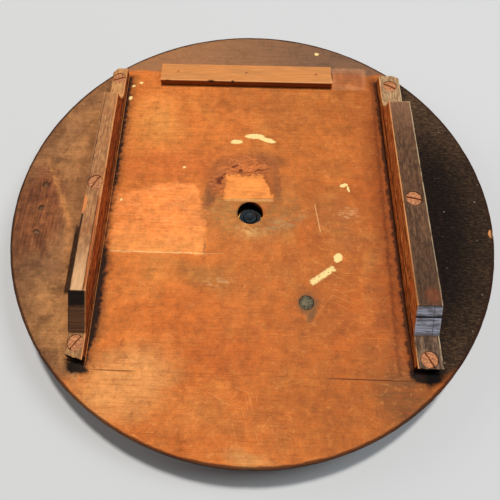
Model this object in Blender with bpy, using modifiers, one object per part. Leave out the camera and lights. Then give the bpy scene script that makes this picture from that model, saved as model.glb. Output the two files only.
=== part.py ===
"""A lazy susan: a round rail-and-stop turntable top on a smaller base, turning on a ball race.

Metres, +Z up. The origin is on the turning axis, on the surface that the feet stand on. The front
is -Y, where a tray slides in between the two rails, and the stop strip is at the back, +Y.
"""

import math

import bmesh
import bpy
from mathutils import Matrix, Vector

# ---- gaps
TOUCH = 0.0003            # between pieces that touch
SCREW_CLEARANCE = 0.0003  # round a screw or a nail in its hole, on the radius
PIN_CLEARANCE = 0.0003    # pivot pin in its bores, on the radius

# ---- the top: three boards glued edge to edge
TOP_DIAMETER = 0.406
TOP_THICKNESS = 0.018
TOP_EDGE_BEVEL = 0.0012
FRONT_JOINT_Y = -0.138
REAR_JOINT_Y = 0.142
PIVOT_HOLE_DIAMETER = 0.022

# ---- chiselled recess behind the pivot hole
RECESS_DEPTH = 0.0022
RECESS_CENTRE_X = -0.007
RECESS_WIDTH = 0.064
RECESS_REACH_Y = 0.057    # from the axis to its far edge
RECESS_NEAR_Y = 0.003     # its straight near edge

# ---- rails, one on each side; each runs front to back
RAIL_HEIGHT = 0.026
TONGUE_HEIGHT = 0.009     # thickness of the low tongue at both ends
LEFT_RAIL_X = -0.1282
LEFT_RAIL_WIDTH = 0.0135
LEFT_RAIL_YAW = 0.0
LEFT_RAIL_FRONT = -0.1335
LEFT_RAIL_REAR = 0.1490
LEFT_RAIL_FRONT_SLOPE = 0.029
RIGHT_RAIL_X = 0.1308
RIGHT_RAIL_WIDTH = 0.0188
RIGHT_RAIL_YAW = math.radians(1.3)
RIGHT_RAIL_FRONT = -0.1320
RIGHT_RAIL_REAR = 0.1470
RIGHT_RAIL_FRONT_SLOPE = 0.019
FRONT_TONGUE = 0.0195     # flat length of the front tongue on the left rail
RIGHT_FRONT_TONGUE = 0.0255
REAR_TONGUE = 0.028
REAR_SCOOP = 0.017

# ---- rail screws: countersunk, one in each tongue and one in the middle
RAIL_SCREW_HEAD_DIAMETER = 0.0124
RAIL_SCREW_SHANK_DIAMETER = 0.0050
RAIL_SCREW_BITE = 0.0125  # length held in the top
RAIL_SCREW_SINK = 0.0006  # head's face below the rail's surface
FRONT_SCREW_INSET = 0.0130
RIGHT_FRONT_SCREW_INSET = 0.0085
REAR_SCREW_INSET = 0.0125
MIDDLE_SCREW_Y = 0.010
RIGHT_MIDDLE_SCREW_Y = 0.003

# ---- stop strip and its nails
STRIP_LENGTH = 0.165
STRIP_WIDTH = 0.0205
STRIP_THICKNESS = 0.0068
STRIP_CENTRE_X = -0.0068
STRIP_EDGE_BEVEL = 0.0006
STRIP_FRONT_Y = 0.1381    # its front edge; it covers the rear joint
NAIL_SPACING = 0.066
NAIL_LENGTH = 0.017
NAIL_HEAD_DIAMETER = 0.0030
NAIL_SHANK_DIAMETER = 0.0016
NAIL_SINK = 0.0005

# ---- plugs glued in old holes
ROUND_PLUG_DIAMETER = 0.0115
ROUND_PLUG_X = 0.046
ROUND_PLUG_Y = -0.0795
SMALL_PLUG_DIAMETER = 0.0050
SMALL_PLUG_X = -0.180
SMALL_PLUG_MIDDLE_Y = -0.0016
SMALL_PLUG_SPACING = 0.0234
SMALL_PLUG_COUNT = 3
PLUG_DEPTH = 0.008

# ---- base
BASE_DIAMETER = 0.260
BASE_THICKNESS = 0.012
BASE_EDGE_BEVEL = 0.003
RUNNING_GAP = 0.005       # between the base and the top

# ---- feet
FOOT_HEIGHT = 0.006
FOOT_DIAMETER = 0.026
FOOT_FROM_AXIS = 0.106
FOOT_COUNT = 4
FOOT_SCREW_HEAD_DIAMETER = 0.0070
FOOT_SCREW_SHANK_DIAMETER = 0.0032
FOOT_SCREW_BITE = 0.0075  # length held in the base
FOOT_SCREW_SINK = 0.0010

# ---- ball race
BALL_DIAMETER = 0.00635
BALL_COUNT = 12
BALL_CIRCLE_RADIUS = 0.060
FIRST_BALL_DEGREES = 5.0
BALL_PLAY = 0.0003        # between a ball and its groove or its pocket
RACE_FACE_GAP = 0.0018    # between the two rings
RACE_THICKNESS = 0.0037
RACE_INNER_RADIUS = 0.0525
RACE_OUTER_RADIUS = 0.0780
CAGE_THICKNESS = 0.0010
CAGE_INNER_RADIUS = 0.0550
CAGE_OUTER_RADIUS = 0.0650
RACE_SCREW_CIRCLE_RADIUS = 0.0710
RACE_SCREW_COUNT = 4
RACE_SCREW_HEAD_DIAMETER = 0.0060
RACE_SCREW_SHANK_DIAMETER = 0.0028
RACE_SCREW_BITE = 0.0060
RACE_SCREW_SINK = 0.0003

# ---- pivot
PIN_DIAMETER = 0.012
PIN_FLANGE_DIAMETER = 0.036
PIN_FLANGE_THICKNESS = 0.003
PIN_TOP_BELOW_FACE = 0.0085
PIN_SCREW_CIRCLE_RADIUS = 0.0125
PIN_SCREW_COUNT = 3
PIN_SCREW_HEAD_DIAMETER = 0.0052
PIN_SCREW_SHANK_DIAMETER = 0.0026
PIN_SCREW_BITE = 0.0060
PIN_SCREW_SINK = 0.0003
BUSH_LENGTH = 0.0060
WASHER_THICKNESS = 0.0008
WASHER_DIAMETER = 0.0190
CLIP_THICKNESS = 0.0008
CLIP_WIDTH = 0.0022
CLIP_OPENING = 0.0050
CLIP_GROOVE_DEPTH = 0.0009

# ---- heights worked out from the sizes above
BASE_BOTTOM = FOOT_HEIGHT + TOUCH
BASE_TOP = BASE_BOTTOM + BASE_THICKNESS
TOP_BOTTOM = BASE_TOP + RUNNING_GAP
TOP_FACE = TOP_BOTTOM + TOP_THICKNESS
BALL_CENTRE = (BASE_TOP + TOP_BOTTOM) / 2
RAIL_BOTTOM = TOP_FACE + TOUCH
PIN_TOP = TOP_FACE - PIN_TOP_BELOW_FACE

ROUND_STEPS = 72
RING_STEPS = 40
SMALL_STEPS = 12
BORE_STEPS = 24           # pivot pin, bush, washer and clip
CUT_PAST = 0.002          # how far a cutter runs past the surface that it opens


# ---------------------------------------------------------------- helpers

def clear_scene():
    for obj in list(bpy.data.objects):
        bpy.data.objects.remove(obj, do_unlink=True)


def new_collection(name):
    collection = bpy.data.collections.new(name)
    bpy.context.scene.collection.children.link(collection)
    return collection


def make_material(name, colour, roughness, metallic=0.0):
    material = bpy.data.materials.new(name)
    material.use_nodes = True
    shader = material.node_tree.nodes["Principled BSDF"]
    shader.inputs["Base Color"].default_value = (*colour, 1.0)
    shader.inputs["Roughness"].default_value = roughness
    shader.inputs["Metallic"].default_value = metallic
    return material


def place(mesh, name, material, matrix=None, parent=None):
    """Put a mesh in the model as a part, or among the cutters when it has no material."""
    obj = bpy.data.objects.new(name, mesh)
    if material is None:
        CUTTERS.objects.link(obj)
        obj.hide_render = True
        obj.display_type = "WIRE"
    else:
        PARTS.objects.link(obj)
        obj.data.materials.append(material)
        obj.parent = parent
    if matrix is not None:
        obj.matrix_world = matrix
    return obj


def turned(name, profile, material, steps=SMALL_STEPS, closed=False, matrix=None, parent=None):
    """A turned solid. The profile is (radius, height) points down the outer side, top to bottom."""
    edges = [(i, i + 1) for i in range(len(profile) - 1)]
    if closed:
        edges.append((len(profile) - 1, 0))
    mesh = bpy.data.meshes.new(name)
    mesh.from_pydata([(radius, 0.0, height) for radius, height in profile], edges, [])
    obj = place(mesh, name, material, matrix, parent)
    screw = obj.modifiers.new("turn", "SCREW")
    screw.axis = "Z"
    screw.steps = steps
    screw.render_steps = steps
    screw.use_merge_vertices = True
    screw.merge_threshold = 0.00001
    screw.use_smooth_shade = True
    return obj


def ring_profile(inner, outer, bottom, top):
    return [(outer, top), (outer, bottom), (inner, bottom), (inner, top)]


def cylinder(name, radius, bottom, top, material=None, x=0.0, y=0.0, steps=SMALL_STEPS,
             parent=None):
    """An upright cylinder; a cutter when it has no material."""
    mesh = bpy.data.meshes.new(name)
    shape = bmesh.new()
    bmesh.ops.create_cone(shape, cap_ends=True, segments=steps, radius1=radius, radius2=radius,
                          depth=top - bottom,
                          matrix=Matrix.Translation((0.0, 0.0, (top + bottom) / 2)))
    shape.to_mesh(mesh)
    shape.free()
    mesh.shade_smooth()
    mesh.set_sharp_from_angle(angle=math.radians(40.0))
    return place(mesh, name, material, Matrix.Translation((x, y, 0.0)), parent)


def box(name, lowest, highest, material=None, matrix=None, parent=None):
    mesh = bpy.data.meshes.new(name)
    shape = bmesh.new()
    bmesh.ops.create_cube(shape, size=1.0)
    low, high = Vector(lowest), Vector(highest)
    size = high - low
    middle = (high + low) / 2
    bmesh.ops.transform(shape, matrix=Matrix.Translation(middle) @ Matrix.Diagonal((*size, 1.0)),
                        verts=shape.verts)
    shape.to_mesh(mesh)
    shape.free()
    return place(mesh, name, material, matrix, parent)


def outline_solid(name, points, thickness, material, matrix, parent=None):
    """A flat outline in its own X and Y, filled, and thick both ways along its own Z."""
    curve = bpy.data.curves.new(name + "_outline", "CURVE")
    curve.dimensions = "2D"
    curve.fill_mode = "BOTH"
    curve.extrude = thickness / 2
    spline = curve.splines.new("POLY")
    spline.points.add(len(points) - 1)
    for point, (x, y) in zip(spline.points, points):
        point.co = (x, y, 0.0, 1.0)
    spline.use_cyclic_u = True
    guide = bpy.data.objects.new(name + "_outline", curve)
    bpy.context.scene.collection.objects.link(guide)
    guide.matrix_world = matrix
    bpy.context.view_layer.update()
    mesh = bpy.data.meshes.new_from_object(guide.evaluated_get(bpy.context.evaluated_depsgraph_get()))
    shape = bmesh.new()
    shape.from_mesh(mesh)
    bmesh.ops.remove_doubles(shape, verts=shape.verts, dist=0.00001)
    bmesh.ops.recalc_face_normals(shape, faces=shape.faces)
    shape.to_mesh(mesh)
    shape.free()
    placed = guide.matrix_world.copy()
    bpy.data.objects.remove(guide, do_unlink=True)
    return place(mesh, name, material, placed, parent)


def cut(obj, cutter, operation="DIFFERENCE"):
    boolean = obj.modifiers.new(cutter.name, "BOOLEAN")
    boolean.operation = operation
    boolean.solver = "EXACT"
    boolean.object = cutter


def bevel(obj, width, segments=1):
    modifier = obj.modifiers.new("edges", "BEVEL")
    modifier.width = width
    modifier.segments = segments
    modifier.limit_method = "ANGLE"
    modifier.angle_limit = math.radians(40.0)


def on_circle(radius, count, start_degrees=0.0):
    for index in range(count):
        angle = math.radians(start_degrees) + 2 * math.pi * index / count
        yield index + 1, radius * math.cos(angle), radius * math.sin(angle)


# ---------------------------------------------------------------- screws and nails

def countersunk_profile(head_radius, shank_radius, length, grow=0.0):
    """A screw below z = 0, its head's face; grow makes the hole that clears it."""
    cone = head_radius - shank_radius
    return [(0.0, grow), (head_radius + grow, grow), (head_radius + grow, -0.0005),
            (shank_radius + grow, -0.0005 - cone), (shank_radius + grow, -length + shank_radius),
            (0.0, -length - grow)]


def hole_profile(head_radius, shank_radius, length):
    """The hole for a countersunk screw, open upwards past the surface that the head sinks below."""
    profile = countersunk_profile(head_radius, shank_radius, length, SCREW_CLEARANCE)
    profile[0] = (0.0, CUT_PAST)
    profile[1] = (head_radius + SCREW_CLEARANCE, CUT_PAST)
    return profile


def fit_screw(name, head_diameter, shank_diameter, length, face, held_by, slot_degrees,
              material, body):
    """A slotted screw with its head's face at the matrix face, and its hole in each held part."""
    head_radius, shank_radius = head_diameter / 2, shank_diameter / 2
    screw = turned(name, countersunk_profile(head_radius, shank_radius, length), material,
                   matrix=face, parent=body)
    slot_width = head_diameter * 0.12
    slot_turn = face @ Matrix.Rotation(math.radians(slot_degrees), 4, "Z")
    slot = box(name + "_slot", (-head_diameter, -slot_width / 2, -head_radius * 0.28),
               (head_diameter, slot_width / 2, CUT_PAST), matrix=slot_turn)
    cut(screw, slot)
    hole = turned(name + "_hole", hole_profile(head_radius, shank_radius, length), None, matrix=face)
    for part in held_by:
        cut(part, hole)
    return screw


# ---------------------------------------------------------------- the top

def make_top(body):
    """Three boards sawn to one disc; the grain runs left to right, so their joints do too."""
    radius = TOP_DIAMETER / 2
    outer = radius + CUT_PAST
    spans = {
        "front_board": (-outer, FRONT_JOINT_Y - TOUCH / 2),
        "middle_board": (FRONT_JOINT_Y + TOUCH / 2, REAR_JOINT_Y - TOUCH / 2),
        "rear_board": (REAR_JOINT_Y + TOUCH / 2, outer),
    }
    boards = {}
    for name, (near, far) in spans.items():
        board = cylinder(name, radius, TOP_BOTTOM, TOP_FACE, MATERIALS["old_board"],
                         steps=ROUND_STEPS, parent=body)
        bevel(board, TOP_EDGE_BEVEL)
        limits = box(name + "_limits", (-outer, near, TOP_BOTTOM - CUT_PAST),
                     (outer, far, TOP_FACE + CUT_PAST))
        cut(board, limits, "INTERSECT")
        boards[name] = board
    middle = boards["middle_board"]
    cut(middle, recess_cutter())
    cut(middle, cylinder("pivot_hole", PIVOT_HOLE_DIAMETER / 2, TOP_BOTTOM - CUT_PAST,
                         TOP_FACE + CUT_PAST, steps=BORE_STEPS))
    return boards


def recess_cutter():
    """A D: straight along its near edge, and half an ellipse round its far side."""
    half = RECESS_WIDTH / 2
    reach = RECESS_REACH_Y - RECESS_NEAR_Y
    points = []
    steps = 14
    for index in range(steps + 1):
        angle = math.pi * index / steps
        points.append((RECESS_CENTRE_X + half * math.cos(angle),
                       RECESS_NEAR_Y + reach * math.sin(angle)))
    depth = RECESS_DEPTH + CUT_PAST
    matrix = Matrix.Translation((0.0, 0.0, TOP_FACE - RECESS_DEPTH + depth / 2))
    return outline_solid("recess", points, depth, None, matrix)


def make_plugs(board, body):
    """Glued plugs in old holes: one broad one, and a row of small ones near the rim."""
    spots = [("round_plug", ROUND_PLUG_DIAMETER, ROUND_PLUG_X, ROUND_PLUG_Y)]
    for index in range(SMALL_PLUG_COUNT):
        offset = (index - (SMALL_PLUG_COUNT - 1) / 2) * SMALL_PLUG_SPACING
        spots.append((f"small_plug_{index + 1}", SMALL_PLUG_DIAMETER, SMALL_PLUG_X,
                      SMALL_PLUG_MIDDLE_Y + offset))
    for name, diameter, x, y in spots:
        plug_bottom = TOP_FACE - PLUG_DEPTH
        cylinder(name, diameter / 2, plug_bottom, TOP_FACE - TOUCH, MATERIALS["plug"], x, y,
                 parent=body)
        cut(board, cylinder(name + "_hole", diameter / 2 + TOUCH, plug_bottom - TOUCH,
                            TOP_FACE + CUT_PAST, x=x, y=y))


# ---------------------------------------------------------------- rails and stop strip

def rail_outline(front, rear, front_tongue, front_slope):
    """Side view of a rail: a sawn slope down to the front tongue, a scoop down to the rear one."""
    points = [(front, 0.0), (rear, 0.0), (rear, TONGUE_HEIGHT)]
    scoop_end = rear - REAR_TONGUE
    steps = 5
    for index in range(steps + 1):
        angle = math.pi / 2 * (1 - index / steps)
        points.append((scoop_end - REAR_SCOOP * math.cos(angle),
                       RAIL_HEIGHT - (RAIL_HEIGHT - TONGUE_HEIGHT) * math.sin(angle)))
    slope_end = front + front_tongue
    points.append((slope_end + front_slope, RAIL_HEIGHT))
    points.append((slope_end, TONGUE_HEIGHT))
    points.append((front, TONGUE_HEIGHT))
    return points


def make_rail(side, x, yaw, width, front, rear, front_tongue, front_slope, screws, boards, body):
    """A rail with its three screws; screws maps a place along it to (y, slot angle)."""
    frame = Matrix.Translation((x, 0.0, RAIL_BOTTOM)) @ Matrix.Rotation(yaw, 4, "Z")
    side_view = Matrix(((0, 0, 1, 0), (1, 0, 0, 0), (0, 1, 0, 0), (0, 0, 0, 1)))
    rail = outline_solid(f"{side}_rail", rail_outline(front, rear, front_tongue, front_slope),
                         width, MATERIALS["rail"], frame @ side_view, body)
    for place_name, (y, slot_degrees) in screws.items():
        height = RAIL_HEIGHT if place_name == "middle" else TONGUE_HEIGHT
        face = frame @ Matrix.Translation((0.0, y, height - RAIL_SCREW_SINK))
        length = height - RAIL_SCREW_SINK + TOUCH + RAIL_SCREW_BITE
        fit_screw(f"{side}_rail_screw_{place_name}", RAIL_SCREW_HEAD_DIAMETER,
                  RAIL_SCREW_SHANK_DIAMETER, length, face, [rail, *boards.values()], slot_degrees,
                  MATERIALS["old_screw"], body)
    return rail


def make_rails(boards, body):
    left_screws = {
        "front": (LEFT_RAIL_FRONT + FRONT_SCREW_INSET, 55.0),
        "middle": (MIDDLE_SCREW_Y, 62.0),
        "rear": (LEFT_RAIL_REAR - REAR_SCREW_INSET, 20.0),
    }
    make_rail("left", LEFT_RAIL_X, LEFT_RAIL_YAW, LEFT_RAIL_WIDTH, LEFT_RAIL_FRONT,
              LEFT_RAIL_REAR, FRONT_TONGUE, LEFT_RAIL_FRONT_SLOPE, left_screws, boards, body)
    right_screws = {
        "front": (RIGHT_RAIL_FRONT + RIGHT_FRONT_SCREW_INSET, -62.0),
        "middle": (RIGHT_MIDDLE_SCREW_Y, -14.0),
        "rear": (RIGHT_RAIL_REAR - REAR_SCREW_INSET, -30.0),
    }
    make_rail("right", RIGHT_RAIL_X, RIGHT_RAIL_YAW, RIGHT_RAIL_WIDTH, RIGHT_RAIL_FRONT,
              RIGHT_RAIL_REAR, RIGHT_FRONT_TONGUE, RIGHT_RAIL_FRONT_SLOPE, right_screws, boards,
              body)


def nail_profile(grow=0.0, above=0.0):
    head, shank = NAIL_HEAD_DIAMETER / 2 + grow, NAIL_SHANK_DIAMETER / 2 + grow
    head_bottom = -0.0010 - grow
    return [(0.0, above), (head, above), (head, head_bottom), (shank, head_bottom),
            (shank, -NAIL_LENGTH + shank), (0.0, -NAIL_LENGTH - grow)]


def make_strip(boards, body):
    """The stop strip, over the rear joint, held by three nails."""
    front = STRIP_FRONT_Y
    low = (STRIP_CENTRE_X - STRIP_LENGTH / 2, front, RAIL_BOTTOM)
    high = (STRIP_CENTRE_X + STRIP_LENGTH / 2, front + STRIP_WIDTH, RAIL_BOTTOM + STRIP_THICKNESS)
    strip = box("stop_strip", low, high, MATERIALS["strip"], parent=body)
    bevel(strip, STRIP_EDGE_BEVEL)
    for index, place_name in enumerate(("left", "middle", "right")):
        spot = Matrix.Translation((STRIP_CENTRE_X + (index - 1) * NAIL_SPACING,
                                   front + STRIP_WIDTH / 2,
                                   RAIL_BOTTOM + STRIP_THICKNESS - NAIL_SINK))
        name = f"strip_nail_{place_name}"
        turned(name, nail_profile(), MATERIALS["old_screw"], steps=10, matrix=spot, parent=body)
        hole = turned(name + "_hole", nail_profile(SCREW_CLEARANCE, CUT_PAST), None, steps=10,
                      matrix=spot)
        for part in (strip, *boards.values()):
            cut(part, hole)


# ---------------------------------------------------------------- base, feet

def make_base():
    base = cylinder("base_board", BASE_DIAMETER / 2, BASE_BOTTOM, BASE_TOP,
                    MATERIALS["base_wood"], steps=ROUND_STEPS)
    bevel(base, BASE_EDGE_BEVEL)
    return base


def upside_down(x, y, z):
    """A frame at a point whose own +Z looks down, for a screw driven upwards."""
    return Matrix.Translation((x, y, z)) @ Matrix.Rotation(math.pi, 4, "X")


def make_feet(base):
    chamfer = 0.0012
    radius = FOOT_DIAMETER / 2
    profile = [(0.0, FOOT_HEIGHT), (radius, FOOT_HEIGHT), (radius, chamfer),
               (radius - chamfer, 0.0), (0.0, 0.0)]
    for number, x, y in on_circle(FOOT_FROM_AXIS, FOOT_COUNT, 45.0):
        foot = turned(f"foot_{number}", profile, MATERIALS["foot"], steps=16,
                      matrix=Matrix.Translation((x, y, 0.0)))
        length = FOOT_HEIGHT + TOUCH + FOOT_SCREW_BITE - FOOT_SCREW_SINK
        fit_screw(f"foot_screw_{number}", FOOT_SCREW_HEAD_DIAMETER, FOOT_SCREW_SHANK_DIAMETER,
                  length, upside_down(x, y, FOOT_SCREW_SINK), [foot, base], 40.0 * number,
                  MATERIALS["steel"], None)


# ---------------------------------------------------------------- ball race

def race_profile(face, back):
    """A ring's section with a round groove; face is the grooved side, back the seated side."""
    groove_radius = BALL_DIAMETER / 2 + BALL_PLAY
    half_gap = RACE_FACE_GAP / 2
    upward = 1.0 if face > back else -1.0
    opening = math.acos(half_gap / groove_radius)
    groove = []
    steps = 4
    for index in range(steps + 1):
        angle = -opening + 2 * opening * index / steps
        groove.append((BALL_CIRCLE_RADIUS + groove_radius * math.sin(angle),
                       BALL_CENTRE - upward * groove_radius * math.cos(angle)))
    if upward > 0:
        return ([(RACE_OUTER_RADIUS, face), (RACE_OUTER_RADIUS, back), (RACE_INNER_RADIUS, back),
                 (RACE_INNER_RADIUS, face)] + groove)
    return ([(RACE_OUTER_RADIUS, back), (RACE_OUTER_RADIUS, face)] + groove[::-1]
            + [(RACE_INNER_RADIUS, face), (RACE_INNER_RADIUS, back)])


def make_race(name, part, upward, start_degrees, body):
    """A grooved ring let into the part it is screwed to; upward when its groove looks up."""
    sign = 1.0 if upward else -1.0
    face = BALL_CENTRE - sign * RACE_FACE_GAP / 2
    back = face - sign * RACE_THICKNESS
    ring = turned(name, race_profile(face, back), MATERIALS["steel"], RING_STEPS, closed=True,
                  parent=body)
    low, high = sorted((back - sign * TOUCH, BALL_CENTRE))
    seat = turned(name + "_seat", ring_profile(RACE_INNER_RADIUS - TOUCH,
                                               RACE_OUTER_RADIUS + TOUCH, low, high),
                  None, RING_STEPS, closed=True)
    cut(part, seat)
    length = RACE_THICKNESS + TOUCH - RACE_SCREW_SINK + RACE_SCREW_BITE
    for number, x, y in on_circle(RACE_SCREW_CIRCLE_RADIUS, RACE_SCREW_COUNT, start_degrees):
        height = face - sign * RACE_SCREW_SINK
        at = Matrix.Translation((x, y, height)) if upward else upside_down(x, y, height)
        fit_screw(f"{name}_screw_{number}", RACE_SCREW_HEAD_DIAMETER, RACE_SCREW_SHANK_DIAMETER,
                  length, at, [ring, part], 25.0 + 50.0 * number, MATERIALS["steel"], body)


def make_balls(body):
    """The balls and the cage that spaces them; the cage turns at half the top's speed."""
    low, high = BALL_CENTRE - CAGE_THICKNESS / 2, BALL_CENTRE + CAGE_THICKNESS / 2
    cage = turned("ball_cage", ring_profile(CAGE_INNER_RADIUS, CAGE_OUTER_RADIUS, low, high),
                  MATERIALS["brass"], RING_STEPS, closed=True, parent=body)
    for number, x, y in on_circle(BALL_CIRCLE_RADIUS, BALL_COUNT, FIRST_BALL_DEGREES):
        ball_mesh = bpy.data.meshes.new(f"ball_{number}")
        shape = bmesh.new()
        bmesh.ops.create_uvsphere(shape, u_segments=10, v_segments=6, radius=BALL_DIAMETER / 2)
        shape.to_mesh(ball_mesh)
        shape.free()
        ball_mesh.shade_smooth()
        place(ball_mesh, f"ball_{number}", MATERIALS["steel"],
              Matrix.Translation((x, y, BALL_CENTRE)), body)
        cut(cage, cylinder(f"ball_{number}_pocket", BALL_DIAMETER / 2 + BALL_PLAY,
                           low - CUT_PAST, high + CUT_PAST, x=x, y=y))


# ---------------------------------------------------------------- pivot

def make_pivot(base, body):
    """A flanged pin let into the base from below; a bush in the top turns on it."""
    pin_radius = PIN_DIAMETER / 2
    flange_radius = PIN_FLANGE_DIAMETER / 2
    flange_top = BASE_BOTTOM + PIN_FLANGE_THICKNESS
    washer_bottom = TOP_BOTTOM + BUSH_LENGTH + TOUCH
    clip_bottom = washer_bottom + WASHER_THICKNESS + TOUCH
    clip_top = clip_bottom + CLIP_THICKNESS
    groove_radius = pin_radius - CLIP_GROOVE_DEPTH
    tip_chamfer = 0.0008
    pin = turned("pivot_pin", [
        (0.0, PIN_TOP), (pin_radius - tip_chamfer, PIN_TOP), (pin_radius, PIN_TOP - tip_chamfer),
        (pin_radius, clip_top + TOUCH), (groove_radius, clip_top + TOUCH),
        (groove_radius, clip_bottom - TOUCH), (pin_radius, clip_bottom - TOUCH),
        (pin_radius, flange_top), (flange_radius, flange_top), (flange_radius, BASE_BOTTOM),
        (0.0, BASE_BOTTOM)], MATERIALS["steel"], steps=BORE_STEPS)
    cut(base, cylinder("flange_seat", flange_radius + TOUCH, BASE_BOTTOM - CUT_PAST,
                       flange_top + TOUCH, steps=BORE_STEPS))
    cut(base, cylinder("pin_hole", pin_radius + PIN_CLEARANCE, BASE_BOTTOM - CUT_PAST,
                       BASE_TOP + CUT_PAST, steps=BORE_STEPS))
    length = PIN_FLANGE_THICKNESS + TOUCH - PIN_SCREW_SINK + PIN_SCREW_BITE
    for number, x, y in on_circle(PIN_SCREW_CIRCLE_RADIUS, PIN_SCREW_COUNT, 90.0):
        fit_screw(f"pivot_screw_{number}", PIN_SCREW_HEAD_DIAMETER, PIN_SCREW_SHANK_DIAMETER,
                  length, upside_down(x, y, BASE_BOTTOM + PIN_SCREW_SINK), [pin, base],
                  70.0 * number, MATERIALS["steel"], None)
    bore = pin_radius + PIN_CLEARANCE
    turned("pivot_bush", ring_profile(bore, PIVOT_HOLE_DIAMETER / 2 - TOUCH, TOP_BOTTOM,
                                      TOP_BOTTOM + BUSH_LENGTH),
           MATERIALS["brass"], steps=BORE_STEPS, closed=True, parent=body)
    turned("pivot_washer", ring_profile(bore, WASHER_DIAMETER / 2, washer_bottom,
                                        washer_bottom + WASHER_THICKNESS),
           MATERIALS["steel"], steps=BORE_STEPS, closed=True)
    clip_inner = groove_radius + TOUCH
    clip = turned("pivot_clip", ring_profile(clip_inner, clip_inner + CLIP_WIDTH, clip_bottom,
                                             clip_top),
                  MATERIALS["steel"], steps=BORE_STEPS, closed=True)
    cut(clip, box("clip_opening", (0.0, -CLIP_OPENING / 2, clip_bottom - CUT_PAST),
                  (pin_radius + CLIP_WIDTH + CUT_PAST, CLIP_OPENING / 2, clip_top + CUT_PAST)))


# ---------------------------------------------------------------- build

clear_scene()
PARTS = new_collection("lazy_susan_turntable")
CUTTERS = new_collection("cutters")
MATERIALS = {
    "old_board": make_material("old_board", (0.48, 0.20, 0.075), 0.55),
    "rail": make_material("rail", (0.20, 0.115, 0.065), 0.60),
    "strip": make_material("strip", (0.66, 0.36, 0.16), 0.65),
    "plug": make_material("plug", (0.22, 0.17, 0.13), 0.75),
    "base_wood": make_material("base_wood", (0.22, 0.10, 0.045), 0.50),
    "foot": make_material("foot", (0.10, 0.055, 0.030), 0.45),
    "old_screw": make_material("old_screw", (0.42, 0.20, 0.09), 0.55, 0.7),
    "steel": make_material("steel", (0.34, 0.33, 0.32), 0.35, 1.0),
    "brass": make_material("brass", (0.56, 0.40, 0.16), 0.38, 1.0),
}

turntable_axis = bpy.data.objects.new("turntable_axis", None)
cage_axis = bpy.data.objects.new("cage_axis", None)
for axis in (turntable_axis, cage_axis):
    bpy.context.scene.collection.objects.link(axis)

base_board = make_base()
top_boards = make_top(turntable_axis)
make_feet(base_board)
make_pivot(base_board, turntable_axis)
make_race("lower_race", base_board, True, 45.0, None)
make_race("upper_race", top_boards["middle_board"], False, 0.0, turntable_axis)
make_balls(cage_axis)
make_rails(top_boards, turntable_axis)
make_strip(top_boards, turntable_axis)
make_plugs(top_boards["middle_board"], turntable_axis)
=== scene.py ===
"""Looks for the lazy susan turntable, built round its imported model.

Metres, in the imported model's frame: the turning axis is Z, the open front is -Y, and the stop
strip is at the back. Shader distances are in millimetres. The pieces are made first, each with
its finish, then the floor, the light and the camera.
"""

import math

import bpy
from mathutils import Matrix, Vector, noise


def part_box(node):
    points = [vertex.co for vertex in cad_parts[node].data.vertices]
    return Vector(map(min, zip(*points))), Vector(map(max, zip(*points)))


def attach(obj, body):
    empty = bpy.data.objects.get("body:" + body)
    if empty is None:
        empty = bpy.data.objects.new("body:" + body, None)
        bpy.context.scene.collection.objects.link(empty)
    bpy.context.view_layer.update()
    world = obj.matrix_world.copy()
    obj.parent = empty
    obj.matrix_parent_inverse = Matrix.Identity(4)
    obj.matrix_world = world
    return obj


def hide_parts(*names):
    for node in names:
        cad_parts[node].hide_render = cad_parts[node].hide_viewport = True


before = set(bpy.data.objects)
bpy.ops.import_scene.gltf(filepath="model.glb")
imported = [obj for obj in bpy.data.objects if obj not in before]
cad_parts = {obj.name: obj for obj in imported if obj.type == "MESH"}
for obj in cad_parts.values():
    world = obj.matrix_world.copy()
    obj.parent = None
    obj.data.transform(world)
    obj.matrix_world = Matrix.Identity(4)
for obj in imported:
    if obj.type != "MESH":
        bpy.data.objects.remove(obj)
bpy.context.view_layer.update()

MM = 0.001

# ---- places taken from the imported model
MIDDLE_LOW, MIDDLE_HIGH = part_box("middle_board")
FACE = MIDDLE_HIGH.z
UNDERSIDE = MIDDLE_LOW.z
RADIUS = MIDDLE_HIGH.x
FRONT_JOINT = (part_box("front_board")[1].y + MIDDLE_LOW.y) / 2
REAR_JOINT = (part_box("rear_board")[0].y + MIDDLE_HIGH.y) / 2
RAIL_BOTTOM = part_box("left_rail")[0].z
BASE_LOW, BASE_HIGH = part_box("base_board")

# ---- angles in degrees above which an edge stays sharp
BOARD_SHARP = 50.0
WOOD_SHARP = 34.0
METAL_SHARP = 38.0

# ---- the top's own sizes
ROW_SPACING = 0.00135
JOINT_HALF_GAP = 0.00006
ARRIS = 0.0012
HOLE_RADIUS = 0.0110

# ---- fit of the pieces that are cut to take others
CLEARANCE = 0.0003
HEAD_CLEARANCE = 0.0002
SHANK_SHARE = 0.42
RACE_INNER = 0.0525
GROOVE_RADIUS = 0.003475
BALL_CIRCLE = 0.060
CAGE_INNER = 0.0550
BALLS = 12
PIN_RADIUS = 0.006
PIN_FLANGE = 0.003
SMALL_PLUGS = [f"small_plug_{number}" for number in range(1, 4)]
RAIL_SCREWS = [(side, place) for side in ("left", "right") for place in ("front", "middle", "rear")]

# ---- rails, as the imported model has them
RAIL_HEIGHT = 0.026
TONGUE_HEIGHT = 0.009
REAR_TONGUE = 0.028
REAR_SCOOP = 0.017


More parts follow.
